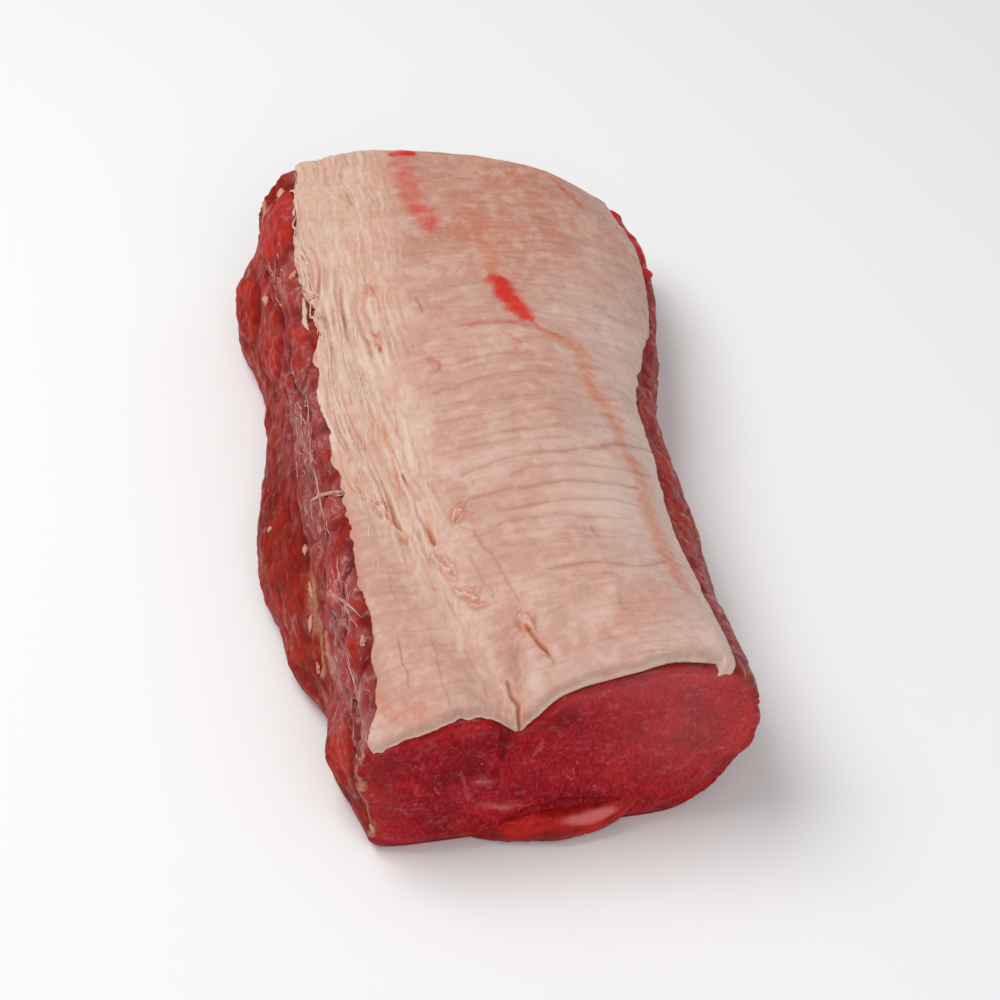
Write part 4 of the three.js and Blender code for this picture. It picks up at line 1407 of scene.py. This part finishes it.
    def face_masks(self, x: Field, z: Field, near: bool, share: Field) -> dict[Masks, Field]:
        """Finds the masks of a cut face's colours.

        Args:
            x: Place across the face.
            z: Height on the face.
            near: Whether it is the near face.
            share: Share of the way from the face's middle to its edge.

        Returns:
            Three masks for each attribute.
        """
        grain = self.grain
        crease, fleck = 0 * x, 0 * x
        if near:
            u, v = x + 1.0 * grain.rough(x / 4, z / 4), z + 1.0 * grain.rough(x / 4 + 30, z / 4)
            crease, _ = trace(u, v, self.face_creases)
            fleck, _ = trace(u, v, self.face_flecks_and_glints)
        bright = 0.5 * smooth(share, 0.9, 1.0) + 0.8 * patch(x, z, (82, 60), (9, 16))
        bright = bright + 0.25 * patch(x, z, (54, 46), (26, 24)) + 0.25 * patch(x, z, (20, 88), (40, 7))
        wet = 0.02 + 0.9 * patch(x, z, (-33, 37), (4, 2)) + 0.9 * patch(x, z, (-24, 21), (6, 2))
        wet = wet + 0.6 * smooth(grain.rough(x / 2.6, z / 2.0), 0.6, 0.9)
        deep = 0.35 * smooth(grain.rough(x / 18, z / 14), 0.1, 0.9)
        # Marbling flecks and painted glints, and the paler right and top of the face
        fleck = np.maximum(0.75 * fleck, self.ruddy(x, z))
        # Painted shade along the creases
        return stack_masks((smooth(1 - share, 0.0, 0.05), 0, bright), (0, fleck, deep), (0.75 * crease, 0, wet))

    def ruddy(self, x: Field, z: Field) -> Field:
        """Finds how much paler the cut face is towards its right and its top."""
        right = 0.24 * patch(x, z, (60, 56), (34, 26))
        return right + 0.2 * smooth(z, 66, 84) * smooth(x, -40, 0) + 0.05 * smooth(x, -60, -80)

    def face_relief(self, x: Field, z: Field, near: bool) -> Field:
        """Finds how far a cut face stands out from its smooth form."""
        grain = self.grain
        rough = 0.8 * grain.rough(x / 15, z / 12) + 0.26 * grain.rough(x / 3.4, z / 2.8, 2)
        if not near:
            return rough
        u, v = x + 1.2 * grain.at(x / 6, z / 6), z + 1.2 * grain.at(x / 7 + 30, z / 6)
        crease, brow = trace(u, v, self.face_creases)
        fleck, _ = trace(u, v, self.face_flecks_and_glints)
        return rough - 1.9 * crease + 0.2 * brow + 0.3 * fleck

    def add_face(self, shell: Shell, rim: Field, near: bool) -> None:
        """Closes one end with its cut face.

        Args:
            shell: The surface so far.
            rim: The numbers of the end ring's points.
            near: Whether it is the near face.
        """
        form, spacing = self.form, self.near_spacing if near else self.far_spacing
        edge = shell.all_points()[rim][:, (0, 2)]
        middle = np.array([-form.centre_x, form.face_middle])
        heights = np.arange(0, 100, spacing * 0.87)
        widths = np.arange(-115, 115, spacing)
        grid = np.array([(x + (i % 2) * spacing / 2, z) for i, z in enumerate(heights) for x in widths])
        grid = grid + np.random.default_rng(5).uniform(-0.2, 0.2, grid.shape) * spacing
        spokes = np.arctan2(edge[:, 1] - middle[1], edge[:, 0] - middle[0])
        order = np.argsort(spokes)
        radius = np.hypot(*(edge - middle).T)
        turn = np.arctan2(grid[:, 1] - middle[1], grid[:, 0] - middle[0])
        limit = np.interp(turn, spokes[order], radius[order], period=2 * math.pi)
        share = np.hypot(*(grid - middle).T) / limit
        kept = share < 1 - 0.8 * spacing / limit
        grid, share = grid[kept], share[kept]
        x, z = grid[:, 0], grid[:, 1]
        outward = -1 if near else 1
        drawn = x + form.centre_x
        inside = 1 - smooth(share, 0.45, 0.95)
        bulge = form.face_relief * inside * wander(drawn / 26 + z / 19, outward + 8)
        if near:
            bulge = bulge + form.face_swell * (1 - smooth(share, 0.8, 1)) * (1 - smooth(z, 25, 62))
        bulge = bulge + self.face_relief(x, z, near) * (1 - smooth(share, 0.93, 1))
        y = (0 if near else form.length) + outward * bulge
        numbers = shell.add_points(form.settle(np.stack([drawn, y, z], -1)), self.face_masks(x, z, near, share))
        flat = np.vstack([edge, grid])
        outline = [list(range(len(edge)))]
        _, _, faces, originals, _, _ = delaunay_2d_cdt([Vector(p) for p in flat], [], outline, 1, 1e-4)
        back = np.array([found[0] for found in originals])
        known = np.concatenate([rim, numbers])
        triangles = back[np.array([face for face in faces if len(face) == 3])]
        a, b, c = (flat[triangles[:, i]] for i in range(3))
        area = (b[:, 0] - a[:, 0]) * (c[:, 1] - a[:, 1]) - (b[:, 1] - a[:, 1]) * (c[:, 0] - a[:, 0])
        turned = area < 0 if near else area > 0
        triangles[turned] = triangles[turned][:, ::-1]
        sheet = np.stack([flat[:, 1] / 420, (flat[:, 0] + 110) / 450], -1)
        sheet = sheet + np.array([0.755, 0.005 if near else 0.5])
        shell.add_triangles(known[triangles], sheet[triangles])

    def shell(self) -> Shell:
        """Builds the whole surface."""
        form = self.form
        quarter = (math.pi / 2) * form.edge_round
        turns = quarter * np.arange(1, self.roll_rows + 1) / self.roll_rows
        share = np.linspace(0, 1, self.body_rows)
        stations = form.body_length * (0.85 * share + 0.15 * share**2)
        own = np.concatenate([-turns[::-1], stations, form.body_length + turns])
        place = self.places(form.share_at(own))
        on_body = np.clip(own, 0, form.body_length)[:, None]
        depth = form.lean_depth(place, np.broadcast_to(form.share_at(on_body), place.shape))
        along = on_body + (own[:, None] - on_body) * (depth + form.edge_round) / form.edge_round
        plain = form.skin(place, along, depth)
        seen = self.read(plain, place)
        points = form.skin(place, along, depth - seen.height)
        masks = self.side_masks(seen, place)
        rolled = np.maximum(-own, own - form.body_length) / quarter
        cut = np.broadcast_to(smooth(rolled, 0.25, 0.8)[:, None], place.shape)
        masks[Masks.ZONES][..., 0] = cut
        masks[Masks.ZONES][..., 1] *= 1 - cut
        masks[Masks.TINTS][..., 1] = cut * self.ruddy(plain[..., 0], plain[..., 2])
        shell = Shell()
        numbers = shell.add_points(points, masks)
        wrapped = np.hstack([numbers, numbers[:, :1]])
        parts = ((90, self.left_columns), (37, self.under_columns), (90, self.right_columns), (75, self.base_columns))
        widths = np.concatenate([[0], *(np.full(count, wide / count) for wide, count in parts)])
        shell.add_grid(wrapped, 0.005 + 0.74 * spread(np.cumsum(widths)), 0.005 + 0.99 * spread(own))
        self.add_face(shell, numbers[0], near=True)
        self.add_face(shell, numbers[-1], near=False)
        return shell


# Straps, strands and small lumps


@dataclass
class Tube:
    """A closed tube of rings, added to a shell with its own strip of the flat map."""

    rings: Field
    masks: dict[Masks, Field]
    across: tuple[float, float] = (0.02, 0.98)

    def add_to(self, shell: Shell) -> None:
        """Adds the tube's points and faces, with a point in the middle of each end."""
        numbers = shell.add_points(self.rings, self.masks)
        wrapped = np.hstack([numbers, numbers[:, :1]])
        turns = np.linspace(*self.across, self.rings.shape[1] + 1)
        shell.add_grid(wrapped, turns, np.linspace(0.06, 0.94, len(self.rings)))
        low, high = turns[:-1], turns[1:]
        for end, level, rim_level in ((0, 0.02, 0.06), (-1, 0.98, 0.94)):
            middle = self.rings[end].mean(0)[None, :]
            pole = shell.add_points(middle, {mask: values[end, :1] for mask, values in self.masks.items()})[0]
            ring = numbers[end]
            pair = [(np.roll(ring, -1), high), (ring, low)]
            if end:
                pair.reverse()
            triangles = np.stack([np.full(len(ring), pole), pair[0][0], pair[1][0]], -1)
            corners = [np.stack([(low + high) / 2, np.full(len(ring), level)], -1)]
            corners += [np.stack([place, np.full(len(ring), rim_level)], -1) for _, place in pair]
            shell.add_triangles(triangles, np.stack(corners, 1))


@dataclass
class Strap:
    """A strap of meat along a path, which tapers towards both ends."""

    form: LoinForm
    path: Line
    deep: float
    high: float
    rings: int = 90
    sides: int = 40
    seed: int = 31

    def shell(self) -> Shell:
        """Builds the strap's surface."""
        grain = Grain(self.seed)
        path = through(self.path, 24) + np.array([0, self.form.near_face, 0])
        share = np.linspace(0.004, 0.996, self.rings)
        steps = spread(np.arange(len(path)))
        centre = np.stack([np.interp(share, steps, path[:, axis]) for axis in range(3)], -1)
        full = np.sqrt(np.sin(math.pi * share))[:, None]
        angle = -np.linspace(0, 2 * math.pi, self.sides, endpoint=False)[None, :]
        along = centre[:, :1]
        rough = 1 + 0.1 * grain.rough(along / 11, np.cos(angle) * 1.1 + 9)
        rough = rough + 0.04 * grain.rough(along / 3, np.sin(angle) * 3 + 20)
        y = centre[:, 1:2] + self.deep * full * rough * np.cos(angle)
        z = centre[:, 2:] + self.high * full * rough * np.sin(angle)
        points = np.stack([np.broadcast_to(along, y.shape), y, np.maximum(z, 0)], -1)
        drift = along + 3 * grain.at(along / 3, np.sin(angle) * 3)
        streak = patch(drift, np.sin(angle), (13, 0.62), (13, 0.34))
        streak = smooth(streak, 0.25, 0.6) * (np.cos(angle) < 0.2)
        # Painted shade: darker on the flap's underside; the noise adds its own darker patches
        deep = 0.5 * smooth(grain.rough(along / 9, np.sin(angle) * 2), 0, 0.8) + 0.4 * (np.sin(angle) < -0.4)
        masks = stack_masks((0.2, 0, 0.9), (0, 0.85 * streak, deep), (0, 0, 0.15 + 0 * y))
        shell = Shell()
        Tube(points, masks).add_to(shell)
        return shell


@dataclass
class Rest:
    """Where small things lie: the points of a surface and the directions that they face."""

    points: Field
    normals: Field

    def under(self, place: Field) -> tuple[Field, Field]:
        """Finds the surface's nearest point and its direction."""
        index = int(np.argmin(((self.points - place) ** 2).sum(1)))
        return self.points[index], self.normals[index]


@dataclass(frozen=True)
class Strand:
    """A thin thread that lies on the surface."""

    line: Line
    half: float
    lift: float = 0.0
    thick: float = 0.6


@dataclass(frozen=True)
class Tint:
    """How cream, orange and pale a small piece of fat is."""

    cream: float = 0.6
    orange: float = 0.35
    pale: float = 0.2

    def over(self, shape: tuple[int, ...]) -> dict[Masks, Field]:
        """Spreads the tint over points."""
        zero = np.zeros(shape)
        return stack_masks((zero + self.cream, 0, 0), (0, self.orange, 0), (0, self.pale, 0))


@dataclass
class Strands:
    """Loose strands, as one piece of round threads half sunk in what they lie on."""

    rest: Rest
    strands: list[Strand]
    tint: Tint = Tint()
    sides: int = 6
    seed: int = 41

    def shell(self) -> Shell:
        """Builds the threads."""
        shell, rng = Shell(), np.random.default_rng(self.seed)
        for index, strand in enumerate(self.strands):
            line = through(strand.line, 7)
            line = line + rng.normal(0, 0.2, line.shape)
            found = [self.rest.under(point) for point in line]
            base, normal = np.array([f[0] for f in found]), np.array([f[1] for f in found])
            for _ in range(2):
                base = np.vstack([base[:1], (base[:-2] + base[1:-1] + base[2:]) / 3, base[-1:]])
                normal = np.vstack([normal[:1], (normal[:-2] + normal[1:-1] + normal[2:]) / 3, normal[-1:]])
            share = np.linspace(0, 1, len(line))[:, None]
            run = np.gradient(base, axis=0)
            run /= np.maximum(np.linalg.norm(run, axis=1, keepdims=True), 1e-9)
            side = np.cross(run, normal)
            side /= np.maximum(np.linalg.norm(side, axis=1, keepdims=True), 1e-9)
            uneven = 1 + 0.2 * rng.normal(0, 1, share.shape).clip(-1, 1)
            half = strand.half * (0.3 + 0.7 * np.sin(math.pi * share) ** 0.6) * uneven
            angle = np.linspace(0, 2 * math.pi, self.sides, endpoint=False)[None, :, None]
            centre = base + normal * (0.05 * half + strand.lift * np.sin(math.pi * share))
            swing = side[:, None] * np.cos(angle) + normal[:, None] * strand.thick * np.sin(angle)
            rings = centre[:, None] + half[:, None] * swing
            low, high = index / len(self.strands), (index + 0.9) / len(self.strands)
            Tube(rings, self.tint.over(rings.shape[:-1]), (low, high)).add_to(shell)
        return shell


@dataclass(frozen=True)
class Lump:
    """A small lump of fat: where it lies, its half sizes, and the way that it points."""

    place: tuple[float, float, float]
    half: tuple[float, float, float]
    turn: float = 0.0


@dataclass
class Lumps:
    """Small lumps, as one piece."""

    rest: Rest
    lumps: tuple[Lump, ...]
    tint: Tint = Tint()
    rings: int = 12
    sides: int = 16
    seed: int = 51

    def shell(self) -> Shell:
        """Builds the lumps."""
        shell, grain = Shell(), Grain(self.seed)
        for index, lump in enumerate(self.lumps):
            base, normal = self.rest.under(np.array(lump.place, float))
            level = np.array([0.0, 1.0, 0.0]) - normal[1] * normal
            level /= max(float(np.linalg.norm(level)), 1e-6)
            other = np.cross(level, normal)
            run = math.cos(lump.turn) * level + math.sin(lump.turn) * other
            side = np.cross(run, normal)
            polar = np.linspace(0.12, math.pi - 0.12, self.rings)[:, None]
            angle = np.linspace(0, 2 * math.pi, self.sides, endpoint=False)[None, :]
            rough = 1 + 0.5 * grain.rough(np.cos(polar) * 1.7 + 5 * index, np.sin(polar) * np.cos(angle) * 1.7 + 9)
            rough = rough + 0.22 * grain.rough(np.cos(polar) * 5 + 3 * index, np.sin(angle) * 4)
            along = lump.half[0] * np.cos(polar) * rough
            across = lump.half[1] * np.sin(polar) * np.cos(angle) * rough
            up = lump.half[2] * (np.sin(polar) * np.sin(angle) * rough + 0.1)
            rings = base + along[..., None] * run + across[..., None] * side + up[..., None] * normal
            low, high = (index + 0.05) / len(self.lumps), (index + 0.9) / len(self.lumps)
            Tube(rings, self.tint.over(rings.shape[:-1]), (low, high)).add_to(shell)
        return shell


@dataclass(frozen=True)
class Drift:
    """Threads scattered over a patch, all running much the same way along the loin."""

    middle: tuple[float, float, float]
    reach: tuple[float, float, float]
    count: int
    half: float = 0.22
    long: tuple[float, float] = (5, 15)
    turn: float = 0.0
    swing: float = 0.35
    lift: float = 0.0
    climb: Line = ((0, 1, 0), (0, 0, 1))
    thick: float = 0.6

    def strands(self, rng: np.random.Generator) -> list[Strand]:
        """Draws the threads, seeded."""
        drawn, (run, side) = [], np.array(self.climb, float)
        for _ in range(self.count):
            centre = np.array(self.middle) + rng.uniform(-1, 1, 3) * np.array(self.reach)
            turn, long = self.turn + rng.normal(0, self.swing), rng.uniform(*self.long) / 2
            ahead = math.cos(turn) * run + math.sin(turn) * side
            aside = math.cos(turn) * side - math.sin(turn) * run
            bend = rng.normal(0, 0.16) * long
            line = [centre - long * ahead, centre + bend * aside, centre + long * ahead]
            size = self.half * rng.uniform(0.6, 1.6)
            drawn.append(Strand(tuple(map(tuple, line)), size, self.lift * rng.uniform(0.2, 1.4), self.thick))
        return drawn


def scatter(drifts: tuple[Drift, ...], seed: int) -> list[Strand]:
    """Draws the threads of several drifts."""
    rng = np.random.default_rng(seed)
    return [strand for drift in drifts for strand in drift.strands(rng)]


# Studio


@dataclass(frozen=True)
class Lamp:
    """A soft square light: its name, place, width and power."""

    name: str
    place: tuple[float, float, float]
    size: float
    power: float


@dataclass(frozen=True)
class Studio:
    """A plain pale floor, soft lights, and the camera where the photographer stood."""

    eye: tuple[float, float, float] = (-162.1, -969.9, 901.2)
    target: tuple[float, float, float] = (3.4, -31.3, 43.0)
    lens: float = 99.0
    floor_half: float = 4000.0
    floor_drop: float = 0.4
    room_light: float = 0.36
    lamps: tuple[Lamp, ...] = (
        Lamp("high_left", (-700, 300, 1500), 1100, 18),
        Lamp("front_fill", (300, -1500, 1300), 1300, 10),
    )

    def build(self) -> None:
        """Builds the floor, the lights and the camera."""
        scene = bpy.context.scene
        scene.view_settings.view_transform = "Standard"
        world = bpy.data.worlds.new("pale_room")
        world.use_nodes = True
        world.node_tree.nodes["Background"].inputs[0].default_value = (1, 1, 1, 1)
        world.node_tree.nodes["Background"].inputs[1].default_value = self.room_light
        scene.world = world
        self.floor()
        for lamp in self.lamps:
            self.hang(lamp)
        lens = bpy.data.cameras.new("camera")
        lens.lens = self.lens
        lens.clip_start, lens.clip_end = 0.05, 50
        camera = bpy.data.objects.new("camera", lens)
        scene.collection.objects.link(camera)
        camera.location = Vector(self.eye) * MM
        camera.rotation_euler = (Vector(self.target) - Vector(self.eye)).to_track_quat("-Z", "Y").to_euler()
        scene.camera = camera

    def floor(self) -> None:
        """Lays the floor."""
        half, low = self.floor_half * MM, -self.floor_drop * MM
        mesh = bpy.data.meshes.new("floor")
        corners = [(-half, -half, low), (half, -half, low), (half, half, low), (-half, half, low)]
        mesh.from_pydata(corners, [], [(0, 1, 2, 3)])
        material = bpy.data.materials.new("pale_floor")
        material.use_nodes = True
        shader = material.node_tree.nodes["Principled BSDF"]
        shader.inputs["Base Color"].default_value = (0.93, 0.93, 0.93, 1)
        shader.inputs["Roughness"].default_value = 0.9
        mesh.materials.append(material)
        floor = bpy.data.objects.new("floor", mesh)
        bpy.context.scene.collection.objects.link(floor)

    def hang(self, lamp: Lamp) -> None:
        """Hangs one light, which looks at the loin's middle."""
        light = bpy.data.lights.new(lamp.name, "AREA")
        light.shape, light.size, light.energy = "SQUARE", lamp.size * MM, lamp.power
        made = bpy.data.objects.new(lamp.name, light)
        bpy.context.scene.collection.objects.link(made)
        made.location = Vector(lamp.place) * MM
        made.rotation_euler = (Vector((0, 0, 60)) - Vector(lamp.place)).to_track_quat("-Z", "Y").to_euler()


# The flap's and the tag's middle lines: across, past the near cut end, and up
FLAP = ((-40, 1.5, 2), (-22, -2.5, 6), (0, -5, 7.5), (20, -4, 9), (38, -1, 17))
TAG = ((92, 313, 51), (101, 316, 49), (110, 319, 45))
# Single threads of silverskin on the chine side
THREADS = [
    Strand(((-87, -32, 58), (-77, -46, 73), (-67, -55, 81)), 1.2, 0.6),
    Strand(((-82, -30, 60), (-74, -50, 74), (-69, -52, 80)), 0.7, 0.3),
    Strand(((-82, 30, 66), (-84, 10, 60), (-88, -12, 52)), 0.6),
    Strand(((-80, 26, 70), (-81, 0, 68), (-82, -24, 66)), 0.5),
    Strand(((-81, -24, 68), (-82, -45, 66), (-82, -67, 64)), 0.6),
    Strand(((-83, -96, 60), (-80, -112, 68), (-75, -128, 75)), 0.7, 0.4),
    Strand(((-80, -108, 66), (-78, -124, 70), (-76, -134, 73)), 0.5, 0.3),
    Strand(((-82, -129, 62), (-84, -145, 60), (-84, -160, 60)), 0.7),
    Strand(((-83, -186, 52), (-84, -190, 44), (-83, -193, 30)), 0.5),
]
# The web of fine silverskin on the chine side
SIDE_WEBS = (
    Drift((-82, 130, 64), (3, 22, 9), 16, turn=-0.2),
    Drift((-84, 20, 60), (3, 40, 13), 60, turn=-0.25),
    Drift((-84, -42, 56), (3, 24, 12), 26, turn=0.2),
    Drift((-82, -108, 66), (3, 20, 8), 30, turn=0.35),
    Drift((-84, -145, 54), (3, 22, 12), 36, turn=0.1),
    Drift((-84, -184, 58), (3, 12, 7), 12, turn=0.0),
)
# The directions along the loin and over the fat, for threads that lie on it
OVER_FAT = ((0, 1, 0), (1, 0, 0))
RIM_FRINGE = (
    Drift((-69, 120, 79), (2.5, 70, 1), 26, 0.65, (8, 26), 0.0, 0.1, 0.4, OVER_FAT),
    Drift((-67, 30, 79), (2.5, 50, 1), 16, 0.55, (7, 20), 0.0, 0.12, 0.3, OVER_FAT),
    Drift((-64, -60, 79), (2, 50, 1), 10, 0.4, (5, 12), 0.0, 0.15, 0.2, OVER_FAT),
    Drift((-56, 0, 80), (10, 70, 1), 26, 0.4, (8, 22), 0.05, 0.07, 0.1, OVER_FAT),
)
# Thick strands of fat along its rim
CORDS = [
    Strand(((-69, 138, 79), (-70, 123, 79), (-70, 108, 79), (-70, 95, 79), (-64, 89, 80)), 1.3, 0.2),
    Strand(((-67, 125, 81), (-68, 111, 80), (-69, 95, 80), (-66, 88, 80)), 0.9, 0.2),
    Strand(((-72, 96, 76), (-73, 82, 76), (-73, 70, 75)), 1.4, 0.3),
    Strand(((-66, 66, 80), (-65, 48, 80), (-67, 30, 80)), 0.9),
    Strand(((-69, 190, 76), (-67, 172, 78), (-68, 150, 78)), 1.1),
    Strand(((-64, 20, 80), (-65, 0, 80), (-64, -20, 80)), 0.7),
    Strand(((-58, 60, 80), (-60, 36, 80), (-58, 12, 80)), 0.6),
    Strand(((-51, 150, 83), (-53, 113, 83), (-56, 78, 82)), 0.6),
]
# Torn tufts at the fat's rim
TUFTS = (
    Lump((-75, 193, 74), (3.4, 2.0, 1.2), 0.3),
    Lump((-68, 88, 80), (2.2, 1.4, 1.0), 0.9),
    Lump((-71, 98, 79), (2.6, 1.2, 0.9), 0.2),
    Lump((-67, 72, 80), (2.4, 1.2, 0.9), -0.4),
    Lump((-76, -142, 75), (2.2, 1.2, 0.9), 0.4),
)
# Small lumps of fat in the chine side's seam
SEAM_LUMPS = (
    Lump((-92, -47, 42), (2.8, 1.3, 0.8), 0.2),
    Lump((-103, -17, 29), (1.6, 1.1, 0.6), 0.4),
    Lump((-93, -74, 42), (5.0, 0.8, 0.3), 0.1),
    Lump((-94, -92, 39), (4.0, 1.0, 0.35), 0.3),
    Lump((-94, -112, 29), (2.4, 1.0, 0.35), 0.5),
    Lump((-81, -196, 15), (2.0, 0.9, 0.7), 0.9),
    Lump((-74, 117, 74), (2.4, 1.4, 1.0), 0.4),
    Lump((-83, 192, 58), (5.0, 1.6, 0.8), 0.2),
    Lump((-87, 129, 50), (3.0, 2.2, 0.5), 0.2),
)


def main() -> None:
    """Builds every piece in order."""
    logging.basicConfig(level=logging.INFO, format="%(message)s")
    effects, form = Effects(), LoinForm()
    fat_finish, lean_finish = FatFinish().build(effects), LeanFinish().build(effects)
    strand_finish = StrandFinish().build(effects)
    lean = Lean(form).shell()
    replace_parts(lean.piece("lean_meat", lean_finish, Slot.LEAN), "lean_loin")
    fat = FatCap(form).shell()
    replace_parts(fat.piece("fat_cover", fat_finish, Slot.FAT), "fat_cap")
    Strap(form, FLAP, deep=5.5, high=8).shell().piece("front_flap", lean_finish, Slot.LEAN)
    Strap(form, TAG, deep=4, high=3.5, rings=40, sides=24, seed=37).shell().piece("side_tag", lean_finish, Slot.LEAN)
    meat = Rest(lean.all_points(), lean.normals())
    cover = Rest(fat.all_points(), fat.normals())
    both = Rest(np.vstack([meat.points, cover.points]), np.vstack([meat.normals, cover.normals]))
    Strands(meat, scatter(SIDE_WEBS, WEB_SEED)).shell().piece("silverskin_web", strand_finish, Slot.LEAN)
    Strands(both, THREADS).shell().piece("silverskin_threads", strand_finish, Slot.LEAN)
    Strands(both, CORDS, Tint(0.9, 0.0, 0.35)).shell().piece("rim_cords", fat_finish, Slot.FAT)
    fringe = Strands(both, scatter(RIM_FRINGE, FRINGE_SEED), Tint(0.9, 0.0, 0.3))
    fringe.shell().piece("rim_fringe", fat_finish, Slot.FAT)
    Lumps(both, TUFTS, Tint(0.5, 0.45, 0.15)).shell().piece("fat_tufts", fat_finish, Slot.FAT)
    Lumps(meat, SEAM_LUMPS, Tint(0.55, 0.5, 0.0)).shell().piece("seam_fat", fat_finish, Slot.FAT)
    Studio().build()


if __name__ == "__main__":
    main()
